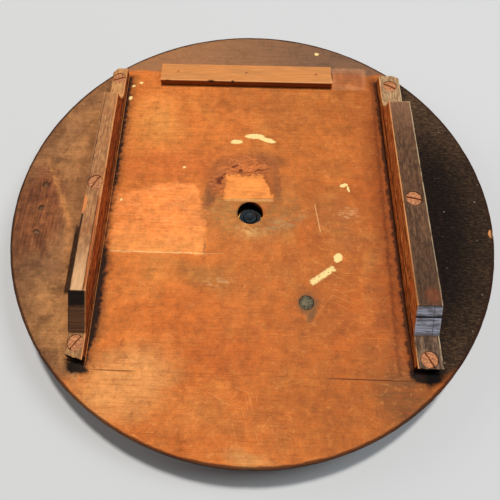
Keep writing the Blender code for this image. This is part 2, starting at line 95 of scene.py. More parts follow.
class Rail:
    """A rail's place and side view, in its own frame: Y along it, Z up from its bottom."""

    def __init__(self, side, x, width, yaw, front, rear, tongue, slope):
        self.side = side
        self.x = x
        self.width = width
        self.yaw = yaw
        self.front = front
        self.rear = rear
        self.tongue_end = front + tongue
        self.slope_end = front + tongue + slope
        self.scoop_end = rear - REAR_TONGUE
        self.frame = Matrix.Translation((x, 0.0, RAIL_BOTTOM)) @ Matrix.Rotation(yaw, 4, "Z")

    def height(self, y):
        """Height of the top surface at a place along the rail."""
        if y < self.slope_end:
            rise = (y - self.tongue_end) / (self.slope_end - self.tongue_end)
            return TONGUE_HEIGHT + (RAIL_HEIGHT - TONGUE_HEIGHT) * min(max(rise, 0.0), 1.0)
        if y < self.scoop_end - REAR_SCOOP:
            return RAIL_HEIGHT
        run = max(self.scoop_end - y, 0.0)
        return RAIL_HEIGHT - math.sqrt(REAR_SCOOP ** 2 - run ** 2)


LEFT_RAIL = Rail("left", -0.1282, 0.0135, 0.0, -0.1335, 0.1490, 0.0195, 0.029)
RIGHT_RAIL = Rail("right", 0.1308, 0.0188, math.radians(1.3), -0.1320, 0.1470, 0.0255, 0.019)


# ---------------------------------------------------------------- shader maths

def tint(red, green, blue):
    """A paint-chart colour, 0 to 255 a channel, as the linear colour that a shader takes."""
    def channel(value):
        share = value / 255
        return share / 12.92 if share <= 0.04045 else ((share + 0.055) / 1.055) ** 2.4
    return (channel(red), channel(green), channel(blue), 1.0)


class Value:
    """A socket; arithmetic on it adds Math nodes, so a finish reads as an expression."""

    def __init__(self, graph, socket):
        self.graph = graph
        self.socket = socket

    def math(self, operation, *values, clamp=False):
        settings = {"operation": operation, "use_clamp": clamp}
        return self.graph.node("ShaderNodeMath", settings, [*values])

    def __add__(self, other):
        return self.math("ADD", self, other)

    def __sub__(self, other):
        return self.math("SUBTRACT", self, other)

    def __rsub__(self, other):
        return self.math("SUBTRACT", other, self)

    def __mul__(self, other):
        return self.math("MULTIPLY", self, other)

    def __truediv__(self, other):
        return self.math("DIVIDE", self, other)

    def __pow__(self, other):
        return self.math("POWER", self, other)

    def __abs__(self):
        return self.math("ABSOLUTE", self)

    __radd__ = __add__
    __rmul__ = __mul__


class Graph:
    """A material's node tree, with the few ways of adding to it that the finishes use."""

    def __init__(self, name, roughness=0.6, metallic=0.0, specular=0.5):
        self.material = bpy.data.materials.new(name)
        self.material.use_nodes = True
        self.tree = self.material.node_tree
        self.colour = None
        self.shader = self.tree.nodes["Principled BSDF"]
        self.shader.inputs["Roughness"].default_value = roughness
        self.shader.inputs["Metallic"].default_value = metallic
        self.shader.inputs["Specular IOR Level"].default_value = specular
        coordinates = self.node("ShaderNodeTexCoord", output="Object")
        self.point = self.vector("SCALE", coordinates, Scale=1 / MM)
        self.x, self.y, self.z = self.parts(self.point)

    def feed(self, socket, value):
        if isinstance(value, Value):
            self.tree.links.new(value.socket, socket)
        else:
            socket.default_value = value

    def node(self, kind, settings=None, inputs=(), output=0):
        """Adds a node: its settings first, then its inputs by place (a list) or name (a dict)."""
        made = self.tree.nodes.new(kind)
        for name, setting in (settings or {}).items():
            setattr(made, name, setting)
        pairs = inputs.items() if isinstance(inputs, dict) else enumerate(inputs)
        for key, value in pairs:
            self.feed(made.inputs[key], value)
        return Value(self, made.outputs[output])

    def vector(self, operation, *vectors, **named):
        inputs = dict(enumerate(vectors))
        inputs.update(named)
        return self.node("ShaderNodeVectorMath", {"operation": operation}, inputs)

    def parts(self, vector):
        made = self.tree.nodes.new("ShaderNodeSeparateXYZ")
        self.feed(made.inputs[0], vector)
        return [Value(self, socket) for socket in made.outputs]

    def place(self, size, seed, at=None):
        """The point divided by a size, one figure or (x, y, z), in mm, and moved by a seed."""
        sizes = size if isinstance(size, tuple) else (size, size, size)
        shrink = tuple(1 / extent for extent in sizes)
        offset = (seed * 7.31, seed * 3.17, seed * 5.93)
        return self.vector("MULTIPLY_ADD", at or self.point, shrink, offset)

    def noise(self, size, detail=2.0, seed=0.0, rough=0.5, twist=0.0, at=None, output="Fac"):
        """Soft noise from 0 to 1 whose features measure size."""
        inputs = {"Vector": self.place(size, seed, at), "Scale": 1.0, "Detail": detail,
                  "Roughness": rough, "Distortion": twist}
        return self.node("ShaderNodeTexNoise", {}, inputs, output)

    def bend(self, size, amount, seed):
        """The point pushed about by noise, so that an edge drawn with it is ragged."""
        push = self.vector("SUBTRACT", self.noise(size, 3.0, seed, output="Color"), (0.5, 0.5, 0.5))
        return self.vector("MULTIPLY_ADD", push, (amount, amount, amount), self.point)

    def cells(self, size, seed=0.0):
        inputs = {"Vector": self.place(size, seed), "Scale": 1.0}
        return self.node("ShaderNodeTexVoronoi", {}, inputs, "Distance")

    def step(self, value, low, high):
        """0 below low, 1 above high, and smooth between; low may be the larger."""
        return self.node("ShaderNodeMapRange", {"interpolation_type": "SMOOTHSTEP"},
                         {"Value": value, "From Min": low, "From Max": high})

    def within(self, value, low, high, soft):
        rising = self.step(value, low - soft, low + soft)
        return rising * self.step(value, high + soft, high - soft)

    def mix(self, mask, first, second):
        """Colours mixed by a mask: first where it is 0."""
        made = self.tree.nodes.new("ShaderNodeMix")
        made.data_type = "RGBA"
        self.feed(made.inputs["Factor"], mask)
        self.feed(made.inputs[6], first)
        self.feed(made.inputs[7], second)
        return Value(self, made.outputs[2])

    def scale(self, colour, factor):
        """A colour made lighter or darker by a varying factor."""
        grey = self.node("ShaderNodeCombineXYZ", {}, [factor, factor, factor])
        return self.vector("MULTIPLY", colour, grey)

    def spot(self, x, y, centre, radii, turn=0.0, soft=0.25):
        """1 inside an ellipse, 0 outside, with an edge as wide as the soft share of it."""
        cosine = math.cos(math.radians(turn))
        sine = math.sin(math.radians(turn))
        across = x - centre[0]
        along = y - centre[1]
        first = (across * cosine + along * sine) / radii[0]
        second = (along * cosine - across * sine) / radii[1]
        distance = (first * first + second * second) ** 0.5
        return self.step(distance, 1.0 + soft, 1.0 - soft)

    def line(self, x, y, start, end, half_width, soft):
        """1 along a straight stroke from start to end."""
        length = math.hypot(end[0] - start[0], end[1] - start[1])
        ux, uy = (end[0] - start[0]) / length, (end[1] - start[1]) / length
        across = x - start[0]
        along = y - start[1]
        travel = across * ux + along * uy
        aside = abs(along * ux - across * uy)
        reach = self.within(travel, 0.0, length, max(soft, 0.4))
        return reach * self.step(aside, half_width + soft, half_width - soft)

    def paint(self, mask, colour):
        """Lays a colour over the finish so far, where the mask is."""
        self.colour = self.mix(mask, self.colour, colour)

    def finish(self, roughness, height, relief):
        """Sends the finish to the shader; height is in mm and drives one Bump node."""
        self.feed(self.shader.inputs["Base Color"], self.colour)
        if roughness is not None:
            self.feed(self.shader.inputs["Roughness"], roughness)
        bump = self.node("ShaderNodeBump", {}, {"Height": height, "Distance": MM,
                                                "Strength": relief}, "Normal")
        self.feed(self.shader.inputs["Normal"], bump)
        return self.material


def most(first, second):
    """The larger of two masks, or of a value and a number."""
    return first.math("MAXIMUM", first, second)


# ---------------------------------------------------------------- mesh helpers

def add_piece(name, points, faces, material, sharp=METAL_SHARP):
    mesh = bpy.data.meshes.new(name)
    mesh.from_pydata(points, [], faces)
    obj = bpy.data.objects.new(name, mesh)
    bpy.context.scene.collection.objects.link(obj)
    if material is not None:
        mesh.materials.append(material)
    smooth(mesh, sharp)
    return obj


def smooth(mesh, sharp):
    mesh.shade_smooth()
    mesh.set_sharp_from_angle(angle=math.radians(sharp))


def settle(obj, body, slot, *nodes):
    """The piece rides on its body and stands for its CAD nodes; its slot is not used."""
    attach(obj, body)
    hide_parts(*nodes)
    return obj


def carve(obj, cutters, sharp=METAL_SHARP):
    """Cuts the cutters out of a piece, keeps the result as its mesh, and removes the cutters."""
    group = bpy.data.collections.new(obj.name + "_cutters")
    for cutter in cutters:
        bpy.context.scene.collection.objects.unlink(cutter)
        group.objects.link(cutter)
    bpy.context.scene.collection.children.link(group)
    boolean = obj.modifiers.new("carve", "BOOLEAN")
    boolean.operation = "DIFFERENCE"
    boolean.solver = "MANIFOLD"
    boolean.operand_type = "COLLECTION"
    boolean.collection = group
    bpy.context.view_layer.update()
    depsgraph = bpy.context.evaluated_depsgraph_get()
    mesh = bpy.data.meshes.new_from_object(obj.evaluated_get(depsgraph))
    obj.modifiers.clear()
    kept = list(obj.data.materials)
    obj.data = mesh
    mesh.materials.clear()
    for material in kept:
        mesh.materials.append(material)
    smooth(mesh, sharp)
    for cutter in cutters:
        bpy.data.objects.remove(cutter, do_unlink=True)
    bpy.data.collections.remove(group)
    return obj


def ring_mesh(profile, steps, closed, wobble=None):
    """Points and faces of a turned solid; an open profile starts and ends on the axis."""
    points = []
    rings = []
    for level, (radius, height) in enumerate(profile):
        if radius < 1e-7:
            rings.append([len(points)])
            points.append((0.0, 0.0, height))
            continue
        start = len(points)
        for index in range(steps):
            angle = 2 * math.pi * index / steps
            grown = radius * (1 + (wobble(angle, level) if wobble else 0.0))
            points.append((grown * math.cos(angle), grown * math.sin(angle), height))
        rings.append(list(range(start, start + steps)))
    pairs = list(zip(rings, rings[1:]))
    if closed:
        pairs.append((rings[-1], rings[0]))
    faces = []
    for upper, lower in pairs:
        for index in range(steps):
            after = (index + 1) % steps
            if len(upper) == 1:
                faces.append((upper[0], lower[index], lower[after]))
            elif len(lower) == 1:
                faces.append((upper[after], upper[index], lower[0]))
            else:
                faces.append((upper[after], upper[index], lower[index], lower[after]))
    return points, faces


def turned(name, profile, material, steps=48, closed=False, matrix=None, wobble=None):
    """A turned piece; the profile runs from the top down its outer side, and on round if closed."""
    points, faces = ring_mesh(profile, steps, closed, wobble)
    if matrix is not None:
        points = [matrix @ Vector(point) for point in points]
    return add_piece(name, points, faces, material)


def cutter(profile, steps, matrix=None, wobble=None, closed=False):
    return turned("cutter", profile, None, steps, closed, matrix, wobble)


def drum(radius, bottom, top, centre=(0.0, 0.0), steps=48, wobble=None):
    """An upright round cutter."""
    profile = [(0.0, top), (radius, top), (radius, bottom), (0.0, bottom)]
    return cutter(profile, steps, Matrix.Translation((centre[0], centre[1], 0.0)), wobble)


def arc(centre, radius, angles):
    """Points round a corner, at angles in degrees."""
    turns = [math.radians(angle) for angle in angles]
    return [(centre[0] + radius * math.cos(a), centre[1] + radius * math.sin(a)) for a in turns]


def soft_ring(inner, outer, low, high, soft):
    """The closed section of a flat ring, its four corners cut by soft."""
    return [(outer - soft, high), (outer, high - soft), (outer, low + soft), (outer - soft, low),
            (inner + soft, low), (inner, low + soft), (inner, high - soft), (inner + soft, high)]


def loft(name, rows, material, sharp=METAL_SHARP, flip=False):
    """A solid through closed outlines of equal length, with both ends capped."""
    width = len(rows[0])
    last = (len(rows) - 1) * width
    faces = []
    for corner in range(0, last, width):
        for index in range(width):
            after = (index + 1) % width
            faces.append((corner + index, corner + after, corner + width + after,
                          corner + width + index))
    ends = [tuple(reversed(range(width))), tuple(range(last, last + width))]
    if flip:
        faces = [(b, a, d, c) for a, b, c, d in faces]
        ends = [end[::-1] for end in ends]
    return add_piece(name, [point for row in rows for point in row], faces + ends, material, sharp)


class Stand:
    """Where a round CAD node stands: its box, its centre and its radius."""

    def __init__(self, node):
        self.low, self.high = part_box(node)
        self.centre = (self.low + self.high) / 2
        self.radius = (self.high.x - self.low.x) / 2
        self.length = self.high.z - self.low.z

    def at(self, height):
        return Matrix.Translation((self.centre.x, self.centre.y, height))

    def head(self, upward):
        """The frame of a screw's head, with +Z out of it."""
        if upward:
            return self.at(self.high.z)
        return self.at(self.low.z) @ Matrix.Rotation(math.pi, 4, "X")


def ramp(value, low, high):
    """0 at low, 1 at high, and smooth between."""
    share = min(max((value - low) / (high - low), 0.0), 1.0)
    return share * share * (3 - 2 * share)


def ripple(point, size, seed=0.0):
    """Smooth noise from -1 to 1 at a point, with features of the given size."""
    return noise.noise(Vector(point) / size + Vector((seed, seed * 1.7, seed * 2.3)))


# ---------------------------------------------------------------- relief of the top's face

def recess_relief(x, y):
    """The chiselled recess behind the pivot hole, as a height in mm at a place in mm."""
    wander = 1.0 + 0.07 * ripple((x, y, 0.0), 9.0, 3.0) + 0.03 * ripple((x, y, 0.0), 3.0, 5.0)
    across = (x + 7.0) / 32.0
    along = (y - 3.0) / 54.0
    if along < -0.2:
        return 0.0
    reach = math.hypot(across, max(along, 0.0) + max(-along, 0.0) * 6) * wander
    bowl = ramp(1.0 - reach, 0.0, 0.22)
    left = -25.0 + (y - 13.0) * 0.16
    right = 19.0 - (y - 16.0) * 0.30
    near = 13.0 + (x + 25.0) * 0.07
    far = 36.5 + 1.5 * ripple((x, y, 0.0), 5.0, 9.0)
    flat = (ramp(x, left - 0.8, left + 0.8) * ramp(-x, -right - 0.8, -right + 0.8)
            * ramp(y, near - 0.5, near + 0.6) * ramp(-y, -far - 1.0, -far + 0.6))
    cut = math.floor(3.5 * ripple((x * 1.2, y * 0.8, 0.0), 6.0, 11.0)) / 3.5
    stab = ramp(ripple((x, y, 0.0), 2.6, 21.0), 0.15, 0.5)
    rough = bowl * (1.15 + 0.45 * cut + 0.5 * stab) * ramp(y, 12.0, 26.0)
    worn = bowl * 0.75 * (1.0 - ramp(y, 12.0, 26.0))
    return -((rough + worn) * (1.0 - flat) + 2.05 * flat)


def face_relief(x, y):
    """Height of the top's face above its plane, in metres: recess, worn hole edge, dents."""
    across, along = x / MM, y / MM
    height = 0.10 * ripple((across, along, 0.0), 70.0)
    height += 0.04 * ripple((across * 0.25, along, 0.0), 6.0, 2.0)
    if abs(across + 7) < 45 and -4 < along < 66:
        height += recess_relief(across, along)
    from_hole = math.hypot(across, along) - HOLE_RADIUS / MM
    height -= 0.55 * ramp(-from_hole, -2.4, -0.2) * (1 + 0.4 * ripple((across, along, 0.0), 4.0, 8.0))
    from_plug = math.hypot(across - 46.0, along + 79.5)
    height -= 0.30 * ramp(-from_plug, -8.0, -5.5)
    return height * MM


# ---------------------------------------------------------------- boards of the top

def board_rows(low, high, spacing):
    """Places along Y whose rim points are evenly spaced, from low to high."""
    inner = RADIUS - ARRIS
    start = math.asin(max(low / inner, -1.0)) if low > -inner else -math.pi / 2 + 0.012
    end = math.asin(min(high / inner, 1.0)) if high < inner else math.pi / 2 - 0.012
    count = max(int((end - start) * RADIUS / spacing), 8)
    return [inner * math.sin(start + (end - start) * index / count) for index in range(count + 1)]


def rim_ring(x, y, ring, hold):
    """A rim point moved out to a ring (radius, height); hold keeps its Y, as at a joint."""
    radius, height = ring
    length = math.hypot(x, y)
    free_y = y * radius / length
    new_y = free_y + (y - free_y) * hold
    new_x = math.copysign(math.sqrt(max(radius ** 2 - new_y ** 2, 0.0)), x)
    if hold < 1e-6:
        new_x = x * radius / length
    return new_x, new_y, height


def make_board(name, low, high, columns, centre_share, material):
    """One board: a fine grid over its face, a rounded worn rim, and a flat underside."""
    rows = board_rows(low, high, ROW_SPACING)
    inner = RADIUS - ARRIS
    points = []
    for y in rows:
        chord = math.sqrt(inner ** 2 - y ** 2)
        for index in range(columns + 1):
            s = 2 * index / columns - 1
            x = chord * (centre_share * s + (1 - centre_share) * s ** 3)
            points.append((x, y, FACE + face_relief(x, y)))
    width = columns + 1
    faces = []
    for row in range(len(rows) - 1):
        for index in range(columns):
            corner = row * width + index
            faces.append((corner, corner + 1, corner + width + 1, corner + width))
    last = (len(rows) - 1) * width
    loop = [(index, "low") for index in range(width)]
    loop += [(row * width + columns, "rim") for row in range(1, len(rows))]
    loop += [(last + index, "high") for index in range(columns - 1, -1, -1)]
    loop += [(row * width, "rim") for row in range(len(rows) - 2, 0, -1)]
    joint_low, joint_high = low > -inner, high < inner
    turn = [math.radians(angle) for angle in (30, 60, 90)]
    rings = [(inner + ARRIS * math.sin(a), FACE - ARRIS + ARRIS * math.cos(a)) for a in turn]
    thickness = FACE - UNDERSIDE
    rings += [(RADIUS, FACE - thickness * share) for share in (0.3, 0.6)]
    rings += [(RADIUS, UNDERSIDE + ARRIS), (inner, UNDERSIDE)]
    previous = [index for index, kind in loop]
    for level, ring in enumerate(rings):
        current = []
        for index, kind in loop:
            x, y, _ = points[index]
            from_joint = min(y - rows[0] if joint_low else 1.0, rows[-1] - y if joint_high else 1.0)
            wall = (kind == "low" and joint_low) or (kind == "high" and joint_high)
            current.append(len(points))
            if wall and abs(x) < math.sqrt(inner ** 2 - y ** 2) - 1e-6:
                drop = (FACE - ring[1]) if level else 0.00025
                points.append((x, y, FACE - max(drop, 0.0002)))
            else:
                hold = 1.0 - ramp(from_joint, 0.0, 0.006)
                wear = 1.0 + 0.5 * max(ripple((x / MM, y / MM, level * 2.0), 7.0, 4.0), 0.0)
                worn = (ring[0] - (wear - 1.0) * 0.0007 * (level < 3), ring[1])
                points.append(rim_ring(x, y, worn, hold))
        count = len(loop)
        for index in range(count):
            after = (index + 1) % count
            faces.append((previous[after], previous[index], current[index], current[after]))
        previous = current
    faces.append(tuple(reversed(previous)))
    return add_piece(name, points, faces, material, BOARD_SHARP)


def hole_wobble(angle, level):
    return 0.022 * ripple((math.cos(angle) * 2, math.sin(angle) * 2, level * 0.3), 1.0, 6.0)


def node_cutter(node, top=None, steps=24):
    """A round cutter that clears an upright round CAD node."""
    here = Stand(node)
    return drum(here.radius + CLEARANCE, here.low.z - CLEARANCE, top or here.high.z + CLEARANCE,
                here.centre, steps)


def shank_cutter(node):
    """Clears the shank of a screw that is driven down through the rail into the board."""
    here = Stand(node)
    return drum(here.radius * SHANK_SHARE + CLEARANCE, here.low.z - CLEARANCE, FACE + 0.004,
                here.centre, 16)


def race_seat(node, bottom, top):
    """The ring-shaped seat of a race, cut between two heights."""
    inner, outer = RACE_INNER - CLEARANCE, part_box(node)[1].x + CLEARANCE
    return cutter([(outer, top), (outer, bottom), (inner, bottom), (inner, top)], 96, closed=True)


def rim_chip():
    """A splinter lost from the rim on the right."""
    place = Matrix.Translation((RADIUS + 0.0006, -0.014, FACE + 0.0002))
    profile = [(0.0, 0.0022), (0.0016, 0.0016), (0.0022, 0.0), (0.0016, -0.0018), (0.0, -0.0024)]
    stretch = Matrix.Diagonal((0.9, 1.7, 1.0, 1.0))
    return cutter(profile, 9, place @ stretch,
                  lambda angle, level: 0.25 * ripple((angle * 2, level, 0.0), 1.0, 7.0))


def make_top():
    material = board_finish()
    middle_ends = (FRONT_JOINT + JOINT_HALF_GAP, REAR_JOINT - JOINT_HALF_GAP)
    shapes = {"front": (-RADIUS, FRONT_JOINT - JOINT_HALF_GAP, 110, 0.8),
              "middle": (*middle_ends, 190, 0.36),
              "rear": (REAR_JOINT + JOINT_HALF_GAP, RADIUS, 110, 0.8)}
    boards = {name: make_board(f"top_{name}_board", *shape, material) for name, shape in shapes.items()}
    race_low, race_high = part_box("upper_race")
    cutters = [drum(HOLE_RADIUS, UNDERSIDE - 0.001, FACE + 0.002, steps=72, wobble=hole_wobble)]
    cutters += [node_cutter(node, FACE + 0.002) for node in ("round_plug", *SMALL_PLUGS)]
    cutters += [shank_cutter(f"{side}_rail_screw_{place}") for side, place in RAIL_SCREWS]
    cutters.append(race_seat("upper_race", race_low.z, race_high.z + CLEARANCE))
    cutters += [node_cutter(f"upper_race_screw_{number}") for number in range(1, 5)]
    cutters.append(rim_chip())
    carve(boards["middle"], cutters, BOARD_SHARP)
    for name, board in boards.items():
        settle(board, "turntable", "board_wood", f"{name}_board")


# ---------------------------------------------------------------- finish of the top

BRIGHT = tint(228, 130, 67)
DEEP = tint(184, 103, 52)
CREAM = tint(255, 222, 146)
# near-black, used for dirt and for painted shade
DIRT_AND_SHADE_BLACK = tint(22, 12, 8)

# soft stains on the open face: centre, radii, turn, softness, strength, colour
FACE_STAINS = [
    ((10.0, 116.0), (46.0, 28.0), 0.0, 0.6, 0.6, (188, 108, 58)),
    ((-92.0, 92.0), (26.0, 30.0), 0.0, 0.6, 0.6, (232, 152, 86)),
    ((-72.0, 46.0), (46.0, 17.0), 6.0, 0.5, 0.6, (204, 106, 56)),
    ((-20.0, 92.0), (30.0, 14.0), -8.0, 0.6, 0.4, (226, 124, 62)),
    ((66.0, 62.0), (30.0, 34.0), 0.0, 0.7, 0.4, (214, 122, 60)),
    ((74.0, -8.0), (15.0, 28.0), 10.0, 0.7, 0.5, (176, 116, 70)),
    ((-38.0, -58.0), (24.0, 11.0), -10.0, 0.7, 0.55, (176, 124, 70)),
    ((60.0, -86.0), (30.0, 20.0), -20.0, 0.6, 0.4, (178, 98, 50)),
    ((-62.0, -92.0), (34.0, 17.0), 4.0, 0.6, 0.5, (210, 106, 46)),
    ((-24.0, -120.0), (46.0, 20.0), 4.0, 0.7, 0.55, (204, 102, 46)),
    ((62.0, -158.0), (46.0, 26.0), -16.0, 0.6, 0.5, (184, 100, 46)),
    ((-90.0, -146.0), (36.0, 24.0), 28.0, 0.5, 0.8, (240, 166, 108)),
    ((-44.0, -166.0), (40.0, 15.0), -10.0, 0.6, 0.4, (222, 138, 78)),
    ((116.0, -150.0), (22.0, 22.0), -40.0, 0.5, 0.85, (132, 82, 50)),
    ((4.0, -196.0), (14.0, 5.0), 0.0, 0.6, 0.45, (226, 170, 116)),
]

# the same, for the left margin
LEFT_STAINS = [
    ((-184.0, -4.0), (22.0, 46.0), -4.0, 0.4, 0.75, (128, 68, 42)),
    ((-150.0, 74.0), (16.0, 40.0), -24.0, 0.6, 0.5, (186, 124, 72)),
    ((-172.0, 66.0), (12.0, 26.0), -30.0, 0.5, 0.5, (146, 98, 64)),
    ((-152.0, 14.0), (9.0, 34.0), 4.0, 0.6, 0.5, (162, 104, 62)),
    ((-176.0, -66.0), (20.0, 26.0), 16.0, 0.6, 0.6, (128, 88, 58)),
    ((-152.0, -104.0), (20.0, 34.0), 24.0, 0.6, 0.7, (194, 132, 78)),
    ((-128.0, -152.0), (18.0, 12.0), 30.0, 0.6, 0.8, (222, 148, 90)),
]


def stained(g, colour, x, y, stains):
    for centre, radii, turn, soft, strength, tone in stains:
        mask = g.spot(x, y, centre, radii, turn, soft) * strength
        colour = g.mix(mask, colour, tint(*tone))
    return colour


def scratches_of(g, turns, length, width, low):
    """Thin, nearly straight marks: noise drawn out along several directions."""
    total = None
    for number, turn in enumerate(turns):
        place = g.node("ShaderNodeVectorRotate", {"rotation_type": "Z_AXIS"},
                       {"Vector": g.bend(60.0, 9.0, 40.0 + number), "Angle": math.radians(turn)})
        field = g.noise((length, width, 8.0), 1.0, 50.0 + turn, 0.4, at=place)
        mark = g.step(field, low, low + 0.05)
        total = mark if total is None else most(total, mark)
    return total


def board_finish():
    g = Graph("old_board_wood", specular=0.10)
    x, y, _ = g.parts(g.bend(28.0, 22.0, 1.0))
    near_x, near_y, _ = g.parts(g.bend(5.0, 7.0, 3.0))
    fine_x, fine_y, _ = g.parts(g.bend(2.2, 2.4, 4.0))
    grain = g.noise((30.0, 1.5, 3.0), 4.0, 1.0, 0.62, 0.3)
    fibre = g.noise((16.0, 0.5, 2.0), 3.0, 2.0, 0.6)
    mottle = g.noise(11.0, 5.0, 5.0, 0.68)

    g.colour = g.mix(g.step(x + y * 0.15, -125.0, 130.0), BRIGHT, DEEP)
    g.paint(g.step(g.noise(44.0, 4.0, 6.0), 0.45, 0.70) * 0.6, tint(204, 104, 46))
    g.paint(g.step(g.noise(30.0, 4.0, 7.0), 0.52, 0.72) * 0.5, tint(226, 146, 80))
    g.colour = stained(g, g.colour, x, y, FACE_STAINS)
    streak = g.step(grain, 0.44, 0.68) * g.step(x - y, -60.0, 60.0)
    g.paint(streak * 0.5, tint(166, 82, 36))
    blotch = g.noise(5.0, 4.0, 9.0, 0.7)
    g.paint(g.step(blotch, 0.54, 0.70) * 0.35, tint(232, 150, 88))
    g.paint(g.step(blotch, 0.45, 0.32) * 0.4, tint(168, 84, 38))
    where = g.step(g.y, 30.0, -60.0) * 0.6 + 0.25
    where = where * g.step(g.noise(30.0, 2.0, 12.0), 0.42, 0.6)
    lines = scratches_of(g, (3.0, -14.0, 31.0, -52.0, 78.0), 26.0, 0.40, 0.72) * where
    long_lines = scratches_of(g, (-4.0, 18.0), 80.0, 0.5, 0.75) * where
    dark_lines = scratches_of(g, (8.0, -38.0), 26.0, 0.5, 0.75)
    g.paint(most(lines, long_lines) * 0.7, tint(255, 190, 124))
    g.paint(dark_lines * 0.45, tint(140, 66, 30))
    g.colour = g.vector("MULTIPLY", g.colour, (1.03, 1.0, 0.76))
    bright_patch(g, y, near_x, near_y)
    recess_marks(g, x, y, near_x, near_y)

    margins(g, x, y, near_x, near_y, grain, mottle)
    grime_and_shade_by_rails(g, near_x, near_y)
    grit = g.noise(1.7, 4.0, 10.0, 0.7)
    shade = 0.93 + (grain - 0.5) * 0.55 + (fibre - 0.5) * 0.4 + (mottle - 0.5) * 1.15
    shade = shade + (grit - 0.5) * 0.55
    g.colour = g.scale(g.colour, shade)
    paint_marks(g, fine_x, fine_y)
    joint_lines(g)
    rim_and_underside(g, mottle)
    height = grain * 0.22 + fibre * 0.16 + mottle * 0.2 - lines * 0.06 - dark_lines * 0.08
    outer = g.step(abs(g.x), 124.0, 136.0) * 0.22
    return g.finish(0.46 + mottle * 0.24 + outer, height, 0.8)


def bright_patch(g, y, near_x, near_y):
    """Paler wood left of the hole, where something was glued: torn above, cut straight below."""
    fibres = g.noise((4.2, 2.6, 3.0), 5.0, 15.0, 0.72)
    torn = (fibres - 0.5) * 15.0
    rise = g.step(near_y - near_x * 0.31 + torn, 52.5, 48.0)
    fall = g.step(near_y + near_x * 0.2 + torn, 17.8, 14.0)
    bent = near_y.math("MAXIMUM", near_y, 0.0) * 0.45
    right = g.step(near_x + bent + torn * 0.5, -35.0, -39.0)
    left = g.step(near_x + torn * 0.4, -118.5, -115.0)
    patch = rise * fall * right * left * g.step(near_y, -41.4, -39.8)
    tone = g.mix(g.step(fibres, 0.36, 0.62), tint(246, 136, 66), tint(255, 156, 82))
    broad = g.step(g.noise((26.0, 8.0, 8.0), 3.0, 16.0), 0.42, 0.62)
    tone = g.mix(broad * 0.5, tone, tint(250, 142, 66))
    tone = g.mix(g.step(y, -12.0, -38.0) * 0.5, tone, tint(244, 160, 82))
    g.paint(patch, g.scale(tone, 1.04 + (fibres - 0.5) * 0.2))
    ledge = g.line(near_x, g.y, (-115.0, -40.2), (-37.0, -39.8), 0.3, 0.5)
    ledge = ledge * g.step(fibres, 0.34, 0.5)
    faint = g.line(near_x, g.y, (-37.0, -39.8), (-21.0, -39.4), 0.1, 0.5) * 0.5
    g.paint(most(ledge, faint), tint(255, 214, 150))
    corner = g.spot(near_x, near_y, (-37.5, -34.0), (1.3, 6.5), 0.0, 0.5)
    g.paint(corner * 0.7, tint(150, 92, 48))


def recess_marks(g, x, y, near_x, near_y):
    """Chisel marks above the flat of the recess, painted shade on its side slopes and in small hollows,
    and the rub round the hole.
    """
    swirl = g.noise((9.0, 5.0, 6.0), 4.0, 22.0, 0.6, 1.6)
    rub = g.step(swirl, 0.40, 0.62)
    ring = g.spot(x, y, (0.0, 2.0), (42.0, 32.0), 0.0, 0.45)
    g.paint(ring * (0.25 + rub * 0.5), tint(172, 118, 64))
    for centre, radii, turn, share, tone in (((1.0, -18.0), (13.0, 6.0), 6.0, 0.8, (230, 166, 96)),
                                             ((27.0, -10.0), (20.0, 5.5), 24.0, 0.6, (186, 142, 92)),
                                             ((-24.0, 2.0), (13.0, 12.0), 0.0, 0.6, (186, 128, 70))):
        pale = g.spot(near_x, near_y, centre, radii, turn, 0.6)
        g.paint(pale * (0.2 + rub) * share, tint(*tone))
    around = g.spot(near_x, near_y, (-7.0, 31.0), (33.0, 31.0), 8.0, 0.16)
    above = g.step(near_y, 10.0, 20.0)
    g.paint(around * above * 0.7, tint(180, 98, 48))
    # painted shade on the recess's left slope
    slope = g.spot(near_x, near_y, (-34.0, 20.0), (5.0, 19.0), -14.0, 0.5)
    g.paint(slope * 0.75, tint(126, 76, 46))
    # painted shade on the recess's right slope
    right_slope_shade = g.spot(near_x, near_y, (22.5, 30.0), (3.6, 18.0), 6.0, 0.6)
    g.paint(right_slope_shade * 0.6, tint(146, 84, 46))
    torn = g.noise((6.0, 2.2, 2.0), 5.0, 23.0, 0.7, 1.2)
    chisel = g.spot(near_x, near_y, (-5.0, 46.0), (27.0, 12.0), 10.0, 0.3)
    chisel = most(chisel, g.spot(near_x, near_y, (-27.0, 30.0), (8.0, 14.0), -20.0, 0.3))
    torn_tone = g.mix(g.step(torn, 0.36, 0.68), tint(224, 126, 64), tint(150, 80, 40))
    g.paint(chisel * 0.85, torn_tone)
    grey = g.spot(near_x, near_y, (17.0, 54.0), (14.0, 7.0), -20.0, 0.5)
    g.paint(grey * 0.5, tint(138, 80, 44))
    ragged_y = near_y + (torn - 0.5) * 8.0
    ragged_x = near_x + (torn - 0.5) * 6.0
    left = g.step(ragged_x - (g.y - 13.0) * 0.16, -26.0, -23.6)
    right = g.step(ragged_x + (g.y - 16.0) * 0.38, 20.0, 18.4)
    flat = left * right * g.step(ragged_y, 39.5, 36.5) * g.step(g.y - (g.x + 25.0) * 0.03, 13.2, 14.2)
    flat_tone = g.mix(g.step(torn, 0.5, 0.7) * 0.6, tint(255, 154, 74), tint(232, 128, 58))
    g.paint(flat, flat_tone)
    # painted shade: dark spots in small hollows above the flat
    for centre, radii in (((-28.3, 30.7), (2.2, 2.8)), ((-26.0, 34.3), (2.6, 1.4)),
                          ((-23.6, 38.0), (1.6, 1.2)), ((-15.2, 46.8), (2.6, 1.4)),
                          ((-9.4, 42.1), (2.0, 1.4)), ((5.0, 42.8), (11.0, 0.6))):
        hollow = g.spot(near_x, near_y, centre, radii, 12.0, 0.5)
        g.paint(hollow * 0.9, tint(104, 40, 18))
    lip = g.line(g.x, g.y, (-22.5, 12.4), (19.5, 12.8), 1.4, 0.8)
    g.paint(lip * 0.75, tint(236, 166, 96))


